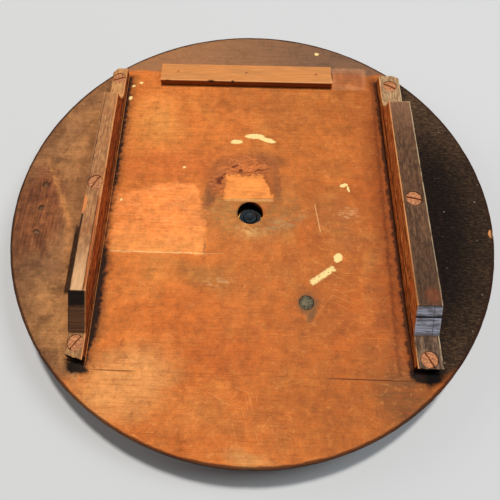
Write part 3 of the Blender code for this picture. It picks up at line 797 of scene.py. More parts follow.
def grime_and_shade_by_rails(g, x, y):
    """Dirt with painted shade along the feet of the rails, and painted shadow with dirt in front of their
    ends.
    """
    # dirt with painted shade: dark bands on the board at the left rail's inner foot, wider towards the
    # front
    crumbs = g.noise(2.4, 4.0, 28.0, 0.75)
    limit = g.step(g.y, -30.0, -48.0) * 4.0 + g.step(g.y, 12.0, 30.0) * 2.0 - 119.5
    limit = limit - g.step(g.y, -105.0, -135.0) * 4.5
    reach = x + (crumbs - 0.5) * 5.0 - limit
    reach = reach + g.step(g.x, -121.0, -123.0) * 90.0
    along = g.within(g.y, -136.0, 148.0, 3.0)
    for share, far, close, tone in ((0.6, 7.0, -1.0, (104, 54, 26)), (0.95, 1.5, -2.5, (26, 14, 9))):
        g.paint(g.step(reach, far, close) * along * share, tint(*tone))
    # dirt with painted shade: a darker reddish band and a dark line on the board beside the right rail
    reddish = g.step(x, 90.0, 120.0) * g.within(g.y, -128.0, 150.0, 8.0) * g.step(g.x, 128.0, 124.0)
    g.paint(reddish * 0.55, tint(156, 78, 34))
    stripe = g.step(abs(x - 113.5 + (crumbs - 0.5) * 3.0), 2.6, 0.4) * along
    g.paint(stripe * 0.5, tint(112, 54, 24))
    # dirt with painted shade: a near-black line in the crease at the right rail's inner foot
    right = g.step(x + g.y * 0.022 + (crumbs - 0.5) * 3.0, 117.0, 119.5) * along
    right = right * g.step(g.x, 126.0, 124.0)
    g.paint(right * 0.85, tint(52, 24, 12))
    # painted shadow with dirt: near-black spots on the board in front of the rails' front ends
    for centre, radii, turn in (((-127.5, -136.0), (9.5, 5.6), -24.0),
                                ((133.0, -134.0), (12.0, 6.4), 0.0)):
        end = g.spot(x, y, centre, radii, turn, 0.3)
        g.paint(end * 0.97, tint(12, 8, 7))


def margins(g, x, y, near_x, near_y, grain, mottle):
    """The darkened margins behind the strip and outside the rails, with a painted shadow beside the left
    rail.
    """
    rear = g.step(y, 153.0, 160.0)
    rear_tone = g.mix(g.step(x, -90.0, 90.0), tint(172, 118, 78), tint(134, 97, 72))
    rear_tone = g.mix(g.step(mottle, 0.48, 0.68) * 0.5, rear_tone, tint(120, 80, 54))
    g.paint(rear, rear_tone)
    ghost = g.within(near_x, 76.0, 109.0, 1.2) * g.within(near_y, 137.0, 164.0, 1.2)
    inside = g.within(near_x, 80.0, 104.0, 2.4) * g.within(near_y, 142.0, 159.0, 2.4)
    g.paint(ghost * (1.0 - inside) * 0.5, tint(206, 140, 96))
    g.paint(ghost * inside * 0.7, tint(180, 108, 66))

    left = g.step(g.x + g.y * 0.02, -126.5, -129.5) * g.step(y, -154.0, -136.0)
    tone = g.mix(g.step(g.noise(26.0, 4.0, 17.0), 0.36, 0.66), tint(158, 106, 68), tint(190, 130, 80))
    tone = stained(g, tone, x, y, LEFT_STAINS)
    streaks = g.noise((1.8, 26.0, 6.0), 4.0, 21.0, 0.65, 0.3)
    red = g.spot(x, y, (-182.0, -6.0), (24.0, 46.0), -4.0, 0.35)
    patchy = g.step(g.noise((9.0, 16.0, 9.0), 4.0, 31.0, 0.65), 0.36, 0.60)
    tone = g.mix(red * g.step(streaks, 0.42, 0.66) * patchy * 0.8, tone, tint(84, 38, 26))
    tone = g.mix(red * g.step(streaks, 0.50, 0.36) * 0.5, tone, tint(190, 112, 62))
    low = g.spot(near_x, near_y, (-184.0, -40.0), (16.0, 18.0), 20.0, 0.5)
    tone = g.mix(low * patchy * 0.4, tone, tint(92, 48, 36))
    ray = g.line(near_x, near_y, (-183.0, 50.0), (-151.0, -20.0), 2.0, 2.4)
    tone = g.mix(ray * 0.6, tone, tint(214, 140, 80))
    beside = g.line(near_x, near_y, (-158.0, 4.0), (-146.0, -60.0), 2.6, 3.0)
    tone = g.mix(beside * 0.55, tone, tint(200, 132, 76))
    # painted shadow: a dark band on the board along the left rail's outer side, standing in for its cast
    # shadow
    foot = g.step(g.x + (grain - 0.5) * 1.6, -147.6, -146.6) * g.within(g.y, -79.0, -18.0, 2.0)
    tone = g.mix(foot * 0.9, tone, tint(34, 18, 12))
    handled = g.step((g.x * g.x + g.y * g.y) ** 0.5, 178.0, 202.0)
    tone = g.mix(handled * 0.4, tone, tint(96, 62, 42))
    dark_patch = g.step(g.noise(15.0, 4.0, 32.0, 0.68), 0.50, 0.62)
    tone = g.mix(dark_patch * 0.45, tone, tint(92, 58, 38))
    blotch = g.noise(7.0, 5.0, 30.0, 0.72)
    tone = g.scale(tone, 1.0 + (blotch - 0.5) * 1.4)
    g.paint(left, tone)
    right_margin(g, x, y, near_x)


def right_margin(g, x, y, near_x):
    """Almost black, with brown dust towards the rim and a few light specks."""
    outside = g.step(g.x + g.y * 0.02, 128.0, 132.0) * g.step(y - x * 0.45, -206.0, -194.0)
    dust = g.noise((4.2, 1.5, 4.0), 5.0, 20.0, 0.8)
    radius = (g.x * g.x + g.y * g.y) ** 0.5
    dusty = g.step(radius, 166.0, 200.0) * 0.35 + g.step(y, 40.0, 120.0) * 0.65
    dusty = dusty + g.step(y, -70.0, -130.0) * 0.3
    tone = g.mix(g.step(dust, 0.44, 0.66), tint(24, 17, 14), tint(52, 38, 30))
    brown = g.mix(g.step(dust, 0.42, 0.64), tint(66, 50, 40), tint(122, 98, 74))
    tone = g.mix(dusty.math("MINIMUM", dusty, 0.9), tone, brown)
    flecks = g.step(dust, 0.60, 0.68) * g.step(g.noise(16.0, 3.0, 19.0), 0.46, 0.62)
    tone = g.mix(flecks * 0.6, tone, tint(120, 98, 72))
    shadow = g.step(near_x + g.y * 0.022, 150.0, 141.0)
    tone = g.mix(shadow * 0.7, tone, tint(26, 20, 17))
    speck = g.step(g.cells(9.0, 1.0), 0.085, 0.05)
    tone = g.mix(speck * 0.8, tone, tint(168, 160, 140))
    g.paint(outside, g.vector("MULTIPLY", tone, (0.86, 0.76, 0.66)))
    chip = g.spot(g.x, g.y, (201.5, -14.0), (3.4, 4.2), 0.0, 0.15)
    g.paint(chip, tint(226, 150, 92))


def paint_marks(g, x, y):
    """Cream splashes, the grey round the big plug, and small chips."""
    marks = [((-14.0, 73.0), (5.4, 2.3), 4.0), ((2.5, 79.6), (8.6, 2.7), 0.0),
             ((13.5, 75.8), (8.0, 2.3), -16.0), ((81.0, 29.6), (3.8, 1.7), 16.0),
             ((84.6, 26.0), (1.2, 3.0), 14.0), ((72.5, -40.0), (3.3, 4.2), -20.0),
             ((62.0, 182.0), (2.2, 1.6), 0.0), ((-116.0, 136.0), (1.4, 1.2), 0.0),
             ((-109.0, 140.0), (1.6, 1.3), 0.0), ((-117.0, 121.0), (1.8, 2.2), 0.0),
             ((-112.0, 9.0), (1.2, 1.2), 0.0), ((-60.0, 44.0), (1.4, 1.2), 0.0)]
    splash = None
    for centre, radii, turn in marks:
        mark = g.spot(x, y, centre, radii, turn, 0.16)
        splash = mark if splash is None else most(splash, mark)
    stroke = g.line(x, y, (69.0, -49.0), (50.0, -63.0), 2.4, 0.8)
    worn = g.step(g.noise((2.6, 2.0, 3.0), 3.0, 24.0, 0.7), 0.34, 0.44)
    g.paint(most(splash, stroke * worn), CREAM)
    faint = g.step(g.noise((6.0, 2.0, 3.0), 4.0, 29.0, 0.7), 0.50, 0.62)
    haze = most(g.spot(x, y, (84.0, 2.0), (9.0, 6.0), 20.0, 0.4),
                g.spot(x, y, (-22.0, -64.0), (13.0, 5.0), 10.0, 0.4))
    g.paint(haze * faint * 0.5, tint(226, 176, 124))
    halo = g.spot(x, y, (46.5, -80.5), (8.0, 8.6), 0.0, 0.35)
    smear = g.spot(x, y, (50.0, -88.0), (3.0, 8.0), -20.0, 0.5)
    g.paint(most(halo, smear) * 0.7, tint(106, 82, 56))
    nick = g.line(g.x, g.y, (55.0, 10.0), (59.0, -17.0), 0.35, 0.4)
    g.paint(nick * 0.7, tint(250, 190, 124))


def joint_lines(g):
    """The hairline at the front joint, open in places."""
    line = g.step(abs(g.y - FRONT_JOINT / MM), 0.7, 0.2)
    open_part = g.within(g.x, -113.0, -84.0, 4.0) + g.within(g.x, 64.0, 116.0, 8.0)
    g.paint(line * open_part * 0.7, tint(84, 42, 22))


def rim_and_underside(g, mottle):
    """A dark handled edge all round, the rim's side painted very dark as shade, the hole's wall painted
    black as shade with a painted lit band on one side near the top, and plain brown wood below.
    """
    radius = (g.x * g.x + g.y * g.y) ** 0.5
    edge = g.step(radius + (mottle - 0.5) * 3.0, RADIUS / MM - 3.0, RADIUS / MM - 1.6)
    g.paint(edge * 0.85, tint(52, 28, 18))
    # painted shade: the rim's side is painted very dark, as its front looks in shade
    low = g.step(g.z, FACE / MM - 0.3, FACE / MM - 0.8)
    rim_side_shade_tone = g.mix(g.step(g.noise((30.0, 30.0, 2.0), 3.0, 26.0), 0.4, 0.65), tint(30, 17, 11),
                     tint(70, 40, 24))
    g.paint(low * g.step(radius, RADIUS / MM - 3.5, RADIUS / MM - 2.0), rim_side_shade_tone)
    # painted shade: the hole's wall goes black below the face; a painted lit band of wood colour stays on
    # one side near the top
    hole = g.step(g.z, FACE / MM - 0.8, FACE / MM - 2.0) * g.step(radius, 13.5, 12.5)
    side = g.step(g.x * 0.8 + g.y * 0.6, 4.0, 9.0) * g.step(g.z, FACE / MM - 8.0, FACE / MM - 2.0)
    g.paint(hole, g.mix(side, tint(16, 11, 9), tint(170, 78, 34)))
    under = g.step(g.z, UNDERSIDE / MM + 1.2, UNDERSIDE / MM + 0.3)
    under_tone = g.mix(g.noise((60.0, 4.0, 4.0), 4.0, 27.0), tint(86, 48, 26), tint(150, 92, 52))
    g.paint(under, under_tone)


# ---------------------------------------------------------------- rails

RAIL_STEP = 0.00055
END_REACH = 0.007


def rail_section(rail, y, height):
    """The outline of a rail across its length, as (x, z) pairs, with worn arrises."""
    half = rail.width / 2
    along = y / MM
    seed = 3.0 if rail.side == "left" else 13.0
    arrises = []
    for level, broad, fine, more in ((1.0, 11.0, 3.5, 0.0), (5.0, 9.0, 3.0, 2.0)):
        wear = 0.35 + 0.45 * max(ripple((along, 0.0, level), broad, seed + more), -0.4)
        wear += 0.5 * ramp(ripple((along, 3.0, level), fine, seed + 4 + more), 0.25, 0.5)
        arrises.append(max(wear, 0.15) * MM)
    left, right = arrises

    def side(sign, arris, level):
        places = []
        for share in (0.0, 0.12, 0.3, 0.5, 0.7, 0.88):
            z = share * (height - arris)
            bulge = 0.10 * MM * ripple((along, z / MM, level), 6.0, seed + 8)
            places.append((sign * (half - 0.12 * MM - bulge), z))
        return places

    outline = side(-1.0, left, 0.0)
    outline += arc((left - half, height - left), left, (180, 150, 120, 90))
    for share in (0.15, 0.32, 0.5, 0.68, 0.85):
        x = -half + left + share * (rail.width - left - right)
        dip = 0.10 * MM * ripple((along, x / MM, 0.0), 4.0, seed + 9)
        outline.append((x, height + dip - 0.08 * MM))
    outline += arc((half - right, height - right), right, (90, 60, 30, 0))
    return outline + side(1.0, right, 4.0)[::-1]


def tool_marks(rail, y):
    """Saw ridges on the sloping cut, and a deep kerf across the right rail's."""
    along = y / MM
    on_slope = ramp(y, rail.tongue_end, rail.tongue_end + 0.002)
    on_slope *= ramp(-y, -rail.slope_end, -rail.slope_end + 0.002)
    ridges = 0.16 * ripple((along, 0.0, 0.0), 0.9, 2.0) + 0.10 * ripple((along, 0.0, 0.0), 2.4, 5.0)
    height = on_slope * ridges
    if rail.side == "right":
        height -= 0.9 * ramp(-abs(along + 94.5), -0.75, -0.25)
    return height * MM


def end_shift(rail, x, z, at_front):
    """How far the ragged end stands back at a point of the end face."""
    seed = 2.0 if rail.side == "left" else 6.0
    spot = (x / MM, z / MM, 0.0)
    rag = 0.9 * ripple(spot, 2.6, seed) + 0.5 * ripple(spot, 1.0, seed)
    share = x / rail.width
    if at_front:
        skew = 3.0 * (0.5 - share) if rail.side == "left" else 1.6 * abs(share) + 0.5
        return (max(rag + 0.8, 0.0) + skew) * MM
    corner = 5.0 * ramp(-share, 0.15, 0.5) if rail.side == "left" else 3.0 * ramp(share, 0.2, 0.5)
    return (0.3 * max(rag, 0.0) + corner) * MM


def make_rail(rail, material):
    """A rail lofted from sections along it, with its three screw recesses cut in."""
    count = int((rail.rear - rail.front) / RAIL_STEP)
    rows = []
    for index in range(count + 1):
        y = rail.front + (rail.rear - rail.front) * index / count
        near_front = 1.0 - ramp(y - rail.front, 0.0, END_REACH)
        near_rear = 1.0 - ramp(rail.rear - y, 0.0, END_REACH)
        row = []
        for x, z in rail_section(rail, y, rail.height(y) + tool_marks(rail, y)):
            shifted = y + near_front * end_shift(rail, x, z, True)
            shifted -= near_rear * end_shift(rail, x, z, False)
            row.append(rail.frame @ Vector((x, shifted, z)))
        rows.append(row)
    obj = loft(f"{rail.side}_side_rail", rows, material, WOOD_SHARP)
    cutters = [screw_recess(f"{side}_rail_screw_{place}") for side, place in RAIL_SCREWS
               if side == rail.side]
    if rail.side == "right":
        cutters.append(side_nail_hole(rail))
    carve(obj, cutters, WOOD_SHARP)
    settle(obj, "turntable", "rail_wood", f"{rail.side}_rail")


def screw_recess(node):
    """The hole of a countersunk screw, opened above the head, with a frayed edge."""
    here = Stand(node)
    shank = here.radius * SHANK_SHARE + CLEARANCE
    clear = here.radius + HEAD_CLEARANCE
    bottom = -here.length - 0.0005
    profile = [(0.0, 0.004), (clear + 0.0001, 0.004), (clear, -0.0004),
               (shank, -0.0004 - (clear - shank)), (shank, bottom), (0.0, bottom)]
    return cutter(profile, 40, here.at(here.high.z),
                  lambda angle, level: 0.012 * ripple((angle * 3, 0, 0), 1.0, 4.0) * (level < 3))


def side_nail_hole(rail):
    """An old nail hole in the right rail's inner side."""
    spot = rail.frame @ Matrix.Translation((-rail.width / 2, -0.063, 0.0175))
    spot = spot @ Matrix.Rotation(math.pi / 2, 4, "Y")
    profile = [(0.0, 0.006), (0.0011, 0.006), (0.0011, -0.002), (0.0, -0.002)]
    return cutter(profile, 16, spot)


def rail_places(g, rail):
    """Across, along, and depth below the top surface, in mm, in the rail's own frame."""
    turned_back = g.node("ShaderNodeVectorRotate", {"rotation_type": "Z_AXIS"},
                         {"Vector": g.point, "Center": (rail.x / MM, 0.0, 0.0), "Angle": -rail.yaw})
    across, along, _ = g.parts(turned_back)
    across = across - rail.x / MM
    rise = (along - rail.tongue_end / MM) / ((rail.slope_end - rail.tongue_end) / MM)
    tongue = TONGUE_HEIGHT / MM
    full = RAIL_HEIGHT / MM
    slope = tongue + rise.math("ADD", rise, 0.0, clamp=True) * (full - tongue)
    run = most(rail.scoop_end / MM - along, 0.0)
    scoop = full - most((REAR_SCOOP / MM) ** 2 - run * run, 0.0) ** 0.5
    lowest = slope.math("MINIMUM", slope, scoop)
    depth = lowest - (g.z - RAIL_BOTTOM / MM)
    return across, along, depth


def rail_finish(rail, tones):
    """Old brown hardwood: handled top, worn pale arrises, dark sides with dirt and painted shade at their
    feet, front ends painted black as shade, marks of saw and paint.
    """
    g = Graph(f"{rail.side}_rail_wood", specular=0.12)
    across, along, depth = rail_places(g, rail)
    half = rail.width / 2 / MM
    inward = 1.0 if rail.side == "left" else -1.0
    seed = 1.0 if rail.side == "left" else 41.0
    level = g.z - RAIL_BOTTOM / MM
    fibre = g.noise((0.7, 18.0, 0.7), 4.0, seed + 1, 0.6)
    mottle = g.noise((2.6, 6.5, 2.6), 5.0, seed + 2, 0.65)
    broad = g.noise(16.0, 3.0, seed + 3)
    wear = g.step(mottle * 0.6 + fibre * 0.4, 0.40, 0.62)

    def pair(name):
        return g.mix(wear, tint(*tones[name][0]), tint(*tones[name][1]))

    top_tone = g.mix(g.step(broad, 0.45, 0.7) * 0.5, pair("top"), tint(*tones["warm"]))
    top_tone = g.mix(g.step(along, 56.0, 112.0) * 0.6, top_tone, tint(*tones["rearward"]))
    flecks = g.step(g.cells((1.4, 2.6, 1.4), seed), 0.20, 0.10) * g.step(broad, 0.42, 0.6)
    top_tone = g.mix(flecks * 0.5, top_tone, tint(*tones["fleck"]))

    side_tone = g.mix(g.step(level, 9.0, 7.0) * 0.6, pair("side"), pair("low"))
    outer_tone = g.mix(wear, tint(44, 28, 20), tint(84, 54, 36))
    side_tone = g.mix(g.step(across * inward, -0.5, 0.5), outer_tone, side_tone)
    seam = g.step(abs(level - 8.6 - (broad - 0.5) * 5.0), 1.2, 0.3)
    side_tone = g.mix(seam * 0.85, side_tone, tint(34, 16, 10))
    streak = g.step(g.noise((2.0, 22.0, 1.6), 4.0, seed + 6, 0.6), 0.48, 0.64)
    side_tone = g.mix(streak * 0.75, side_tone, tint(64, 28, 15))
    # dirt with painted shade: the sides go near-black at their feet, in the crease with the board
    grime_and_foot_shade = g.step(level + (mottle - 0.5) * 4.0, 2.4, 0.2)
    side_tone = g.mix(grime_and_foot_shade * 0.85, side_tone, DIRT_AND_SHADE_BLACK)

    g.colour = g.mix(g.step(depth, 0.25, 0.9), top_tone, side_tone)
    top_only = g.step(depth, 1.0, 0.4)
    on_slope = g.within(along, rail.tongue_end / MM + 0.6, rail.slope_end / MM - 0.2, 0.5)
    kerfs = g.step(g.noise((90.0, 0.5, 30.0), 3.0, seed + 4, 0.7), 0.34, 0.66)
    slope_tone = g.mix(kerfs, tint(*tones["slope"][0]), tint(*tones["slope"][1]))
    drop = (rail.slope_end - rail.tongue_end) / MM
    slope_top = rail.slope_end / MM
    head = g.step(along + (mottle - 0.5) * 3.0, slope_top - drop * 0.42, slope_top - drop * 0.30)
    slope_tone = g.mix(head * tones["shade"], slope_tone, tint(14, 10, 9))
    g.paint(on_slope * top_only, slope_tone)
    low_front = g.step(along, rail.tongue_end / MM + 1.0, rail.tongue_end / MM - 1.0)
    g.paint(low_front * top_only * 0.95, pair("tongue"))
    low_rear = g.step(along, rail.scoop_end / MM - 19.5, rail.scoop_end / MM - 16.0)
    g.paint(low_rear * g.step(depth, 2.6, 1.2) * 0.9, pair("rear"))

    near_top = g.step(depth, 1.5, 0.5)
    worn = g.step(g.noise((4.0, 14.0, 4.0), 4.0, seed + 5, 0.6), 0.30, 0.50)
    for side, name in ((-1.0, "left_edge"), (1.0, "right_edge")):
        edge = g.step(across * side, half - 1.2, half - 0.5) * near_top * worn * (1.0 - on_slope * 0.6)
        g.paint(edge * 0.85, tint(*tones[name]))
    if rail.side == "left":
        left_rail_marks(g, rail, across, along, depth, top_only, broad)
    else:
        right_rail_marks(g, across, along, depth, top_only)
    # painted shade: the front end faces are painted near-black, as they face away from the light
    shaded_front_end = g.step(along, rail.front / MM + 4.6, rail.front / MM + 3.4) * g.step(depth, 0.3, 0.8)
    rear_end = g.step(along, rail.rear / MM - 1.5, rail.rear / MM - 0.4) * g.step(depth, 0.5, 1.2)
    g.paint(shaded_front_end * 0.96, tint(14, 9, 8))
    g.paint(rear_end * 0.6, tint(60, 36, 24))
    g.colour = g.scale(g.colour, 0.62 + fibre * 0.36 + mottle * 0.28)
    height = fibre * 0.18 + mottle * 0.2 - flecks * 0.06 - kerfs * on_slope * 0.2
    roughness = 0.62 - on_slope * top_only * tones["gloss"] + mottle * 0.12
    return g.finish(roughness, height, 0.8)


def left_rail_marks(g, rail, across, along, depth, top_only, broad):
    """Old paint edges and dark lines along the top, the two broad ones at its left edge painted shade; a
    pale front and a chip.
    """
    pale = g.step(along, -38.0, -80.0) * g.within(across, -5.0, 3.6, 1.0) * top_only
    high = g.step(along, rail.slope_end / MM - 0.5, rail.slope_end / MM + 0.5)
    g.paint(pale * high * 0.75, tint(242, 190, 138))
    stripe = g.within(across, 4.6, 6.3, 0.3) * g.within(along, -82.0, -4.0, 3.0) * top_only
    g.paint(stripe * 0.8, tint(198, 98, 44))
    # dark lines along the top; the two broad ones at the left edge are painted shade, like the shadow
    # beside the rail
    for start, end, half_width in (((4.2, -2.0), (4.5, -84.0), 0.3), ((-4.3, 104.0), (-5.8, 6.0), 0.25),
                                   ((-6.3, -20.0), (-6.3, -86.0), 1.0), ((6.2, -30.0), (6.6, -84.0), 0.2),
                                   ((-6.4, -86.0), (-6.4, -112.0), 0.5)):
        dark = g.line(across + (broad - 0.5) * 1.2, along, start, end, half_width, 0.35)
        g.paint(dark * g.step(depth, 3.0, 2.0) * 0.9, DIRT_AND_SHADE_BLACK)
    chip = g.spot(across, along, (-6.4, -11.0), (2.2, 8.5), 0.0, 0.25) * g.step(depth, 4.5, 3.0)
    g.paint(chip, tint(232, 138, 76))


def right_rail_marks(g, across, along, depth, top_only):
    """A sheen and a kerf on the slope, a crack, a chip and a dull front."""
    sheen = g.within(along, -105.0, -89.0, 1.6) * top_only
    streaky = g.step(g.noise((9.0, 1.4, 4.0), 3.0, 61.0), 0.36, 0.60)
    g.paint(sheen * (0.25 + streaky * 0.6), tint(172, 174, 190))
    crack = g.line(across, along, (3.4, -87.0), (4.0, -110.0), 0.16, 0.2) * top_only
    kerf = g.step(abs(along + 94.5), 0.8, 0.35) * g.step(depth, 2.0, 1.4)
    g.paint(most(crack, kerf), tint(14, 9, 8))
    chip = g.spot(along, depth, (-70.0, 7.5), (5.0, 2.4), 0.0, 0.3) * g.step(across, -7.5, -8.6)
    g.paint(chip, tint(236, 130, 60))
    dull = g.step(along, -20.0, -66.0) * g.step(along, -88.0, -85.0) * top_only
    g.paint(dull * 0.4, tint(58, 40, 28))
    red = g.spot(across, along, (3.0, -80.0), (5.5, 6.0), 0.0, 0.5) * top_only
    g.paint(red * 0.5, tint(140, 72, 40))


# colours of each part of a rail, dark and light where it has two
LEFT_TONES = {
    "top": ((150, 100, 64), (200, 140, 90)), "warm": (176, 108, 66), "rearward": (190, 128, 80),
    "fleck": (96, 60, 42), "side": ((134, 66, 32), (214, 122, 62)),
    "low": ((132, 72, 40), (204, 136, 86)), "slope": ((66, 42, 28), (112, 72, 44)), "shade": 0.92,
    "gloss": 0.1, "tongue": ((128, 86, 54), (200, 146, 92)), "rear": ((178, 120, 72), (224, 162, 102)),
    "left_edge": (150, 100, 66), "right_edge": (240, 160, 96),
}
RIGHT_TONES = {
    "top": ((74, 50, 34), (122, 86, 60)), "warm": (100, 64, 44), "rearward": (162, 114, 84),
    "fleck": (182, 150, 112), "side": ((196, 106, 54), (255, 176, 96)),
    "low": ((200, 100, 48), (255, 160, 80)), "slope": ((40, 34, 34), (112, 98, 92)), "shade": 0.0,
    "gloss": 0.25, "tongue": ((74, 54, 42), (138, 108, 84)), "rear": ((150, 112, 78), (212, 170, 124)),
    "left_edge": (244, 166, 100), "right_edge": (206, 178, 142),
}


# ---------------------------------------------------------------- screws, nails and plugs

def screw_profile(head, length):
    """A countersunk screw below its face, with a slightly domed, worn head."""
    shank = head * SHANK_SHARE
    return [(0.0, 0.00016), (head * 0.5, 0.00012), (head * 0.85, 0.00003), (head * 0.97, -0.00006),
            (head, -0.0003), (head * 0.98, -0.0005), (shank, -0.0005 - (head - shank)),
            (shank, -length + shank), (shank * 0.3, -length * 0.99), (0.0, -length)]


def make_screw(node, slot_degrees, material, slot, body, upward=True, steps=40):
    """A slotted screw in the place of its CAD node."""
    here = Stand(node)
    place = here.head(upward)
    obj = turned(node + "_detail", screw_profile(here.radius * 0.995, here.length), material, steps,
                 matrix=place)
    slot_place = place @ Matrix.Rotation(math.radians(slot_degrees), 4, "Z")
    carve(obj, [slot_cutter(here.radius, slot_place)])
    settle(obj, body, slot, node)


def slot_cutter(head, place):
    """A driver slot, a little wider at its mouth, where drivers have slipped."""
    half, mouth, depth, reach = head * 0.10, head * 0.14, head * 0.26, head * 1.3
    section = [(-mouth, 0.001), (-half, -depth * 0.35), (-half, -depth), (half, -depth),
               (half, -depth * 0.35), (mouth, 0.001)]
    rows = [[place @ Vector((end, y, z)) for y, z in section] for end in (-reach, reach)]
    return loft("slot_cutter", rows, None)


def rust_finish():
    """Iron screws gone orange-brown, with pale bare wood dust rubbed into them."""
    g = Graph("rusty_iron", specular=0.25)
    mottle = g.noise(1.6, 4.0, 1.0, 0.7)
    broad = g.noise(7.0, 2.0, 2.0)
    g.colour = g.mix(g.step(mottle, 0.38, 0.64), tint(150, 88, 54), tint(222, 148, 94))
    g.paint(g.step(broad, 0.5, 0.7) * 0.4, tint(172, 106, 66))
    pits = g.step(g.cells(0.7, 3.0), 0.22, 0.1)
    g.paint(pits * 0.7, tint(58, 32, 20))
    return g.finish(0.55 + mottle * 0.2, mottle * 0.12 - pits * 0.08, 0.7)


def make_rail_screws(material):
    turns = {"left": (55.0, 62.0, 20.0), "right": (-60.7, -12.7, -28.7)}
    for side, angles in turns.items():
        for place, angle in zip(("front", "middle", "rear"), angles):
            make_screw(f"{side}_rail_screw_{place}", angle, material, "rusty_screw", "turntable")


def make_nails(material):
    """Small flat nail heads punched just below the strip's face."""
    for place in ("left", "middle", "right"):
        node = f"strip_nail_{place}"
        here = Stand(node)
        head = here.radius
        profile = [(0.0, 0.0), (head * 0.6, -0.00003), (head * 0.93, -0.0001), (head, -0.0003),
                   (head * 0.96, -0.0009), (head * 0.5, -0.001), (head * 0.5, -here.length + 0.0016),
                   (0.0, -here.length)]
        obj = turned(node + "_detail", profile, material, 28, matrix=here.at(here.high.z),
                     wobble=lambda angle, level: 0.03 * ripple((angle, level, 0.0), 1.0, 3.0))
        settle(obj, "turntable", "rusty_screw", node)


def plug_finish(name, dark, light):
    g = Graph(name, roughness=0.8, specular=0.25)
    mottle = g.noise(2.0, 4.0, 3.0, 0.7)
    broad = g.noise(5.0, 2.0, 5.0)
    g.colour = g.mix(g.step(mottle * 0.6 + broad * 0.4, 0.40, 0.62), dark, light)
    pits = g.step(g.cells(0.9, 2.0), 0.24, 0.12)
    g.paint(pits * 0.6, tint(44, 34, 24))
    return g.finish(None, mottle * 0.2 - pits * 0.1, 0.9)


def make_plugs():
    """The filler in old holes: one grey and crumbly, three small with sunken centres."""
    filler = plug_finish("grey_filler", tint(70, 62, 48), tint(134, 122, 94))
    wood_plug = plug_finish("small_plug_wood", tint(78, 50, 32), tint(138, 96, 62))
    make_plug("round_plug", filler, 0.00045, 40)
    for node in SMALL_PLUGS:
        make_plug(node, wood_plug, 0.0009, 28)


def make_plug(node, material, sink, steps):
    here = Stand(node)
    radius, bottom = here.radius, -here.length
    profile = [(0.0, -sink), (radius * 0.3, -sink * 0.95), (radius * 0.55, -sink * 0.7),
               (radius * 0.72, -0.00012), (radius * 0.9, -0.00005), (radius * 0.985, -0.0003),
               (radius * 0.99, bottom), (0.0, bottom)]
    obj = turned(node + "_detail", profile, material, steps, matrix=here.at(here.high.z),
                 wobble=lambda angle, level: -0.05 * abs(ripple(
                     (math.cos(angle) * 2, math.sin(angle) * 2, level * 0.5), 1.0,
                     here.centre.x * 100)))
    settle(obj, "turntable", "plug_wood", node)


# ---------------------------------------------------------------- stop strip

STRIP_STEPS = 220


def strip_outline(width, thickness, x):
    """The strip's section across its length, as (y, z) pairs from its front bottom edge."""
    along = x / MM
    outline = []
    front = (0.35 + 0.2 * ripple((along, 0.0, 0.0), 8.0, 2.0)) * MM
    front += 1.1 * MM * strip_damage(along)
    rear = (0.5 + 0.25 * ripple((along, 4.0, 0.0), 8.0, 3.0)) * MM
    for share in (0.0, 0.35, 0.7):
        dent = 0.10 * MM * ripple((along, share * 5, 0.0), 4.0, 5.0)
        outline.append((dent + 0.0001, share * (thickness - front)))
    outline += arc((front, thickness - front), front, (180, 150, 120, 90))
    for share in (0.12, 0.3, 0.5, 0.7, 0.88):
        y = front + share * (width - front - rear)
        outline.append((y, thickness - 0.00012 + 0.0001 * ripple((along, y / MM, 0.0), 6.0, 7.0)))
    outline += arc((width - rear, thickness - rear), rear, (90, 60, 30, 0))
    for share in (0.7, 0.35, 0.0):
        outline.append((width - 0.0001, share * (thickness - rear)))
    return outline


def strip_damage(along):
    """1 where the strip's front top edge is bruised away, at two places."""
    return max(ramp(-abs(along + 42.0), -4.5, -1.0), 0.8 * ramp(-abs(along + 20.0), -3.0, -0.8))


def strip_break(y, z):
    """How far the broken right end stands back, in metres, at a point of the end face."""
    spot = (y / MM, z / MM, 0.0)
    jag = 1.3 * ripple(spot, 2.2, 4.0) + 0.8 * ripple(spot, 0.9, 9.0)
    notch = 2.2 * ramp(y, 0.010, 0.0195)
    return max(jag + 1.0 + notch * 0.6, 0.0) * MM


def make_strip(material):
    """The stop strip, lofted along X; its right end is snapped off, so it is jagged."""
    low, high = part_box("stop_strip")
    width, thickness = high.y - low.y, high.z - low.z
    rows = []
    for index in range(STRIP_STEPS + 1):
        x = low.x + (high.x - low.x) * index / STRIP_STEPS
        near_right = 1.0 - ramp(high.x - x, 0.0, 0.009)
        near_left = 1.0 - ramp(x - low.x, 0.0, 0.004)
        row = []
        for y, z in strip_outline(width, thickness, x):
            back = near_right * strip_break(y, z)
            forth = near_left * 0.0005 * abs(ripple((y / MM, z / MM, 0.0), 3.0, 6.0))
            row.append((x - back + forth, low.y + y, low.z + z))
        rows.append(row)
    obj = loft("rear_stop_strip", rows, material, WOOD_SHARP, flip=True)
    cutters = []
    for place in ("left", "middle", "right"):
        here = Stand(f"strip_nail_{place}")
        head = here.radius + 0.00008
        shank = head * 0.62
        profile = [(0.0, 0.002), (head, 0.002), (head, -0.0012), (shank, -0.0013), (shank, -0.02),
                   (0.0, -0.02)]
        cutters.append(cutter(profile, 28, here.at(here.high.z)))
    carve(obj, cutters, WOOD_SHARP)
    settle(obj, "turntable", "strip_wood", "stop_strip")


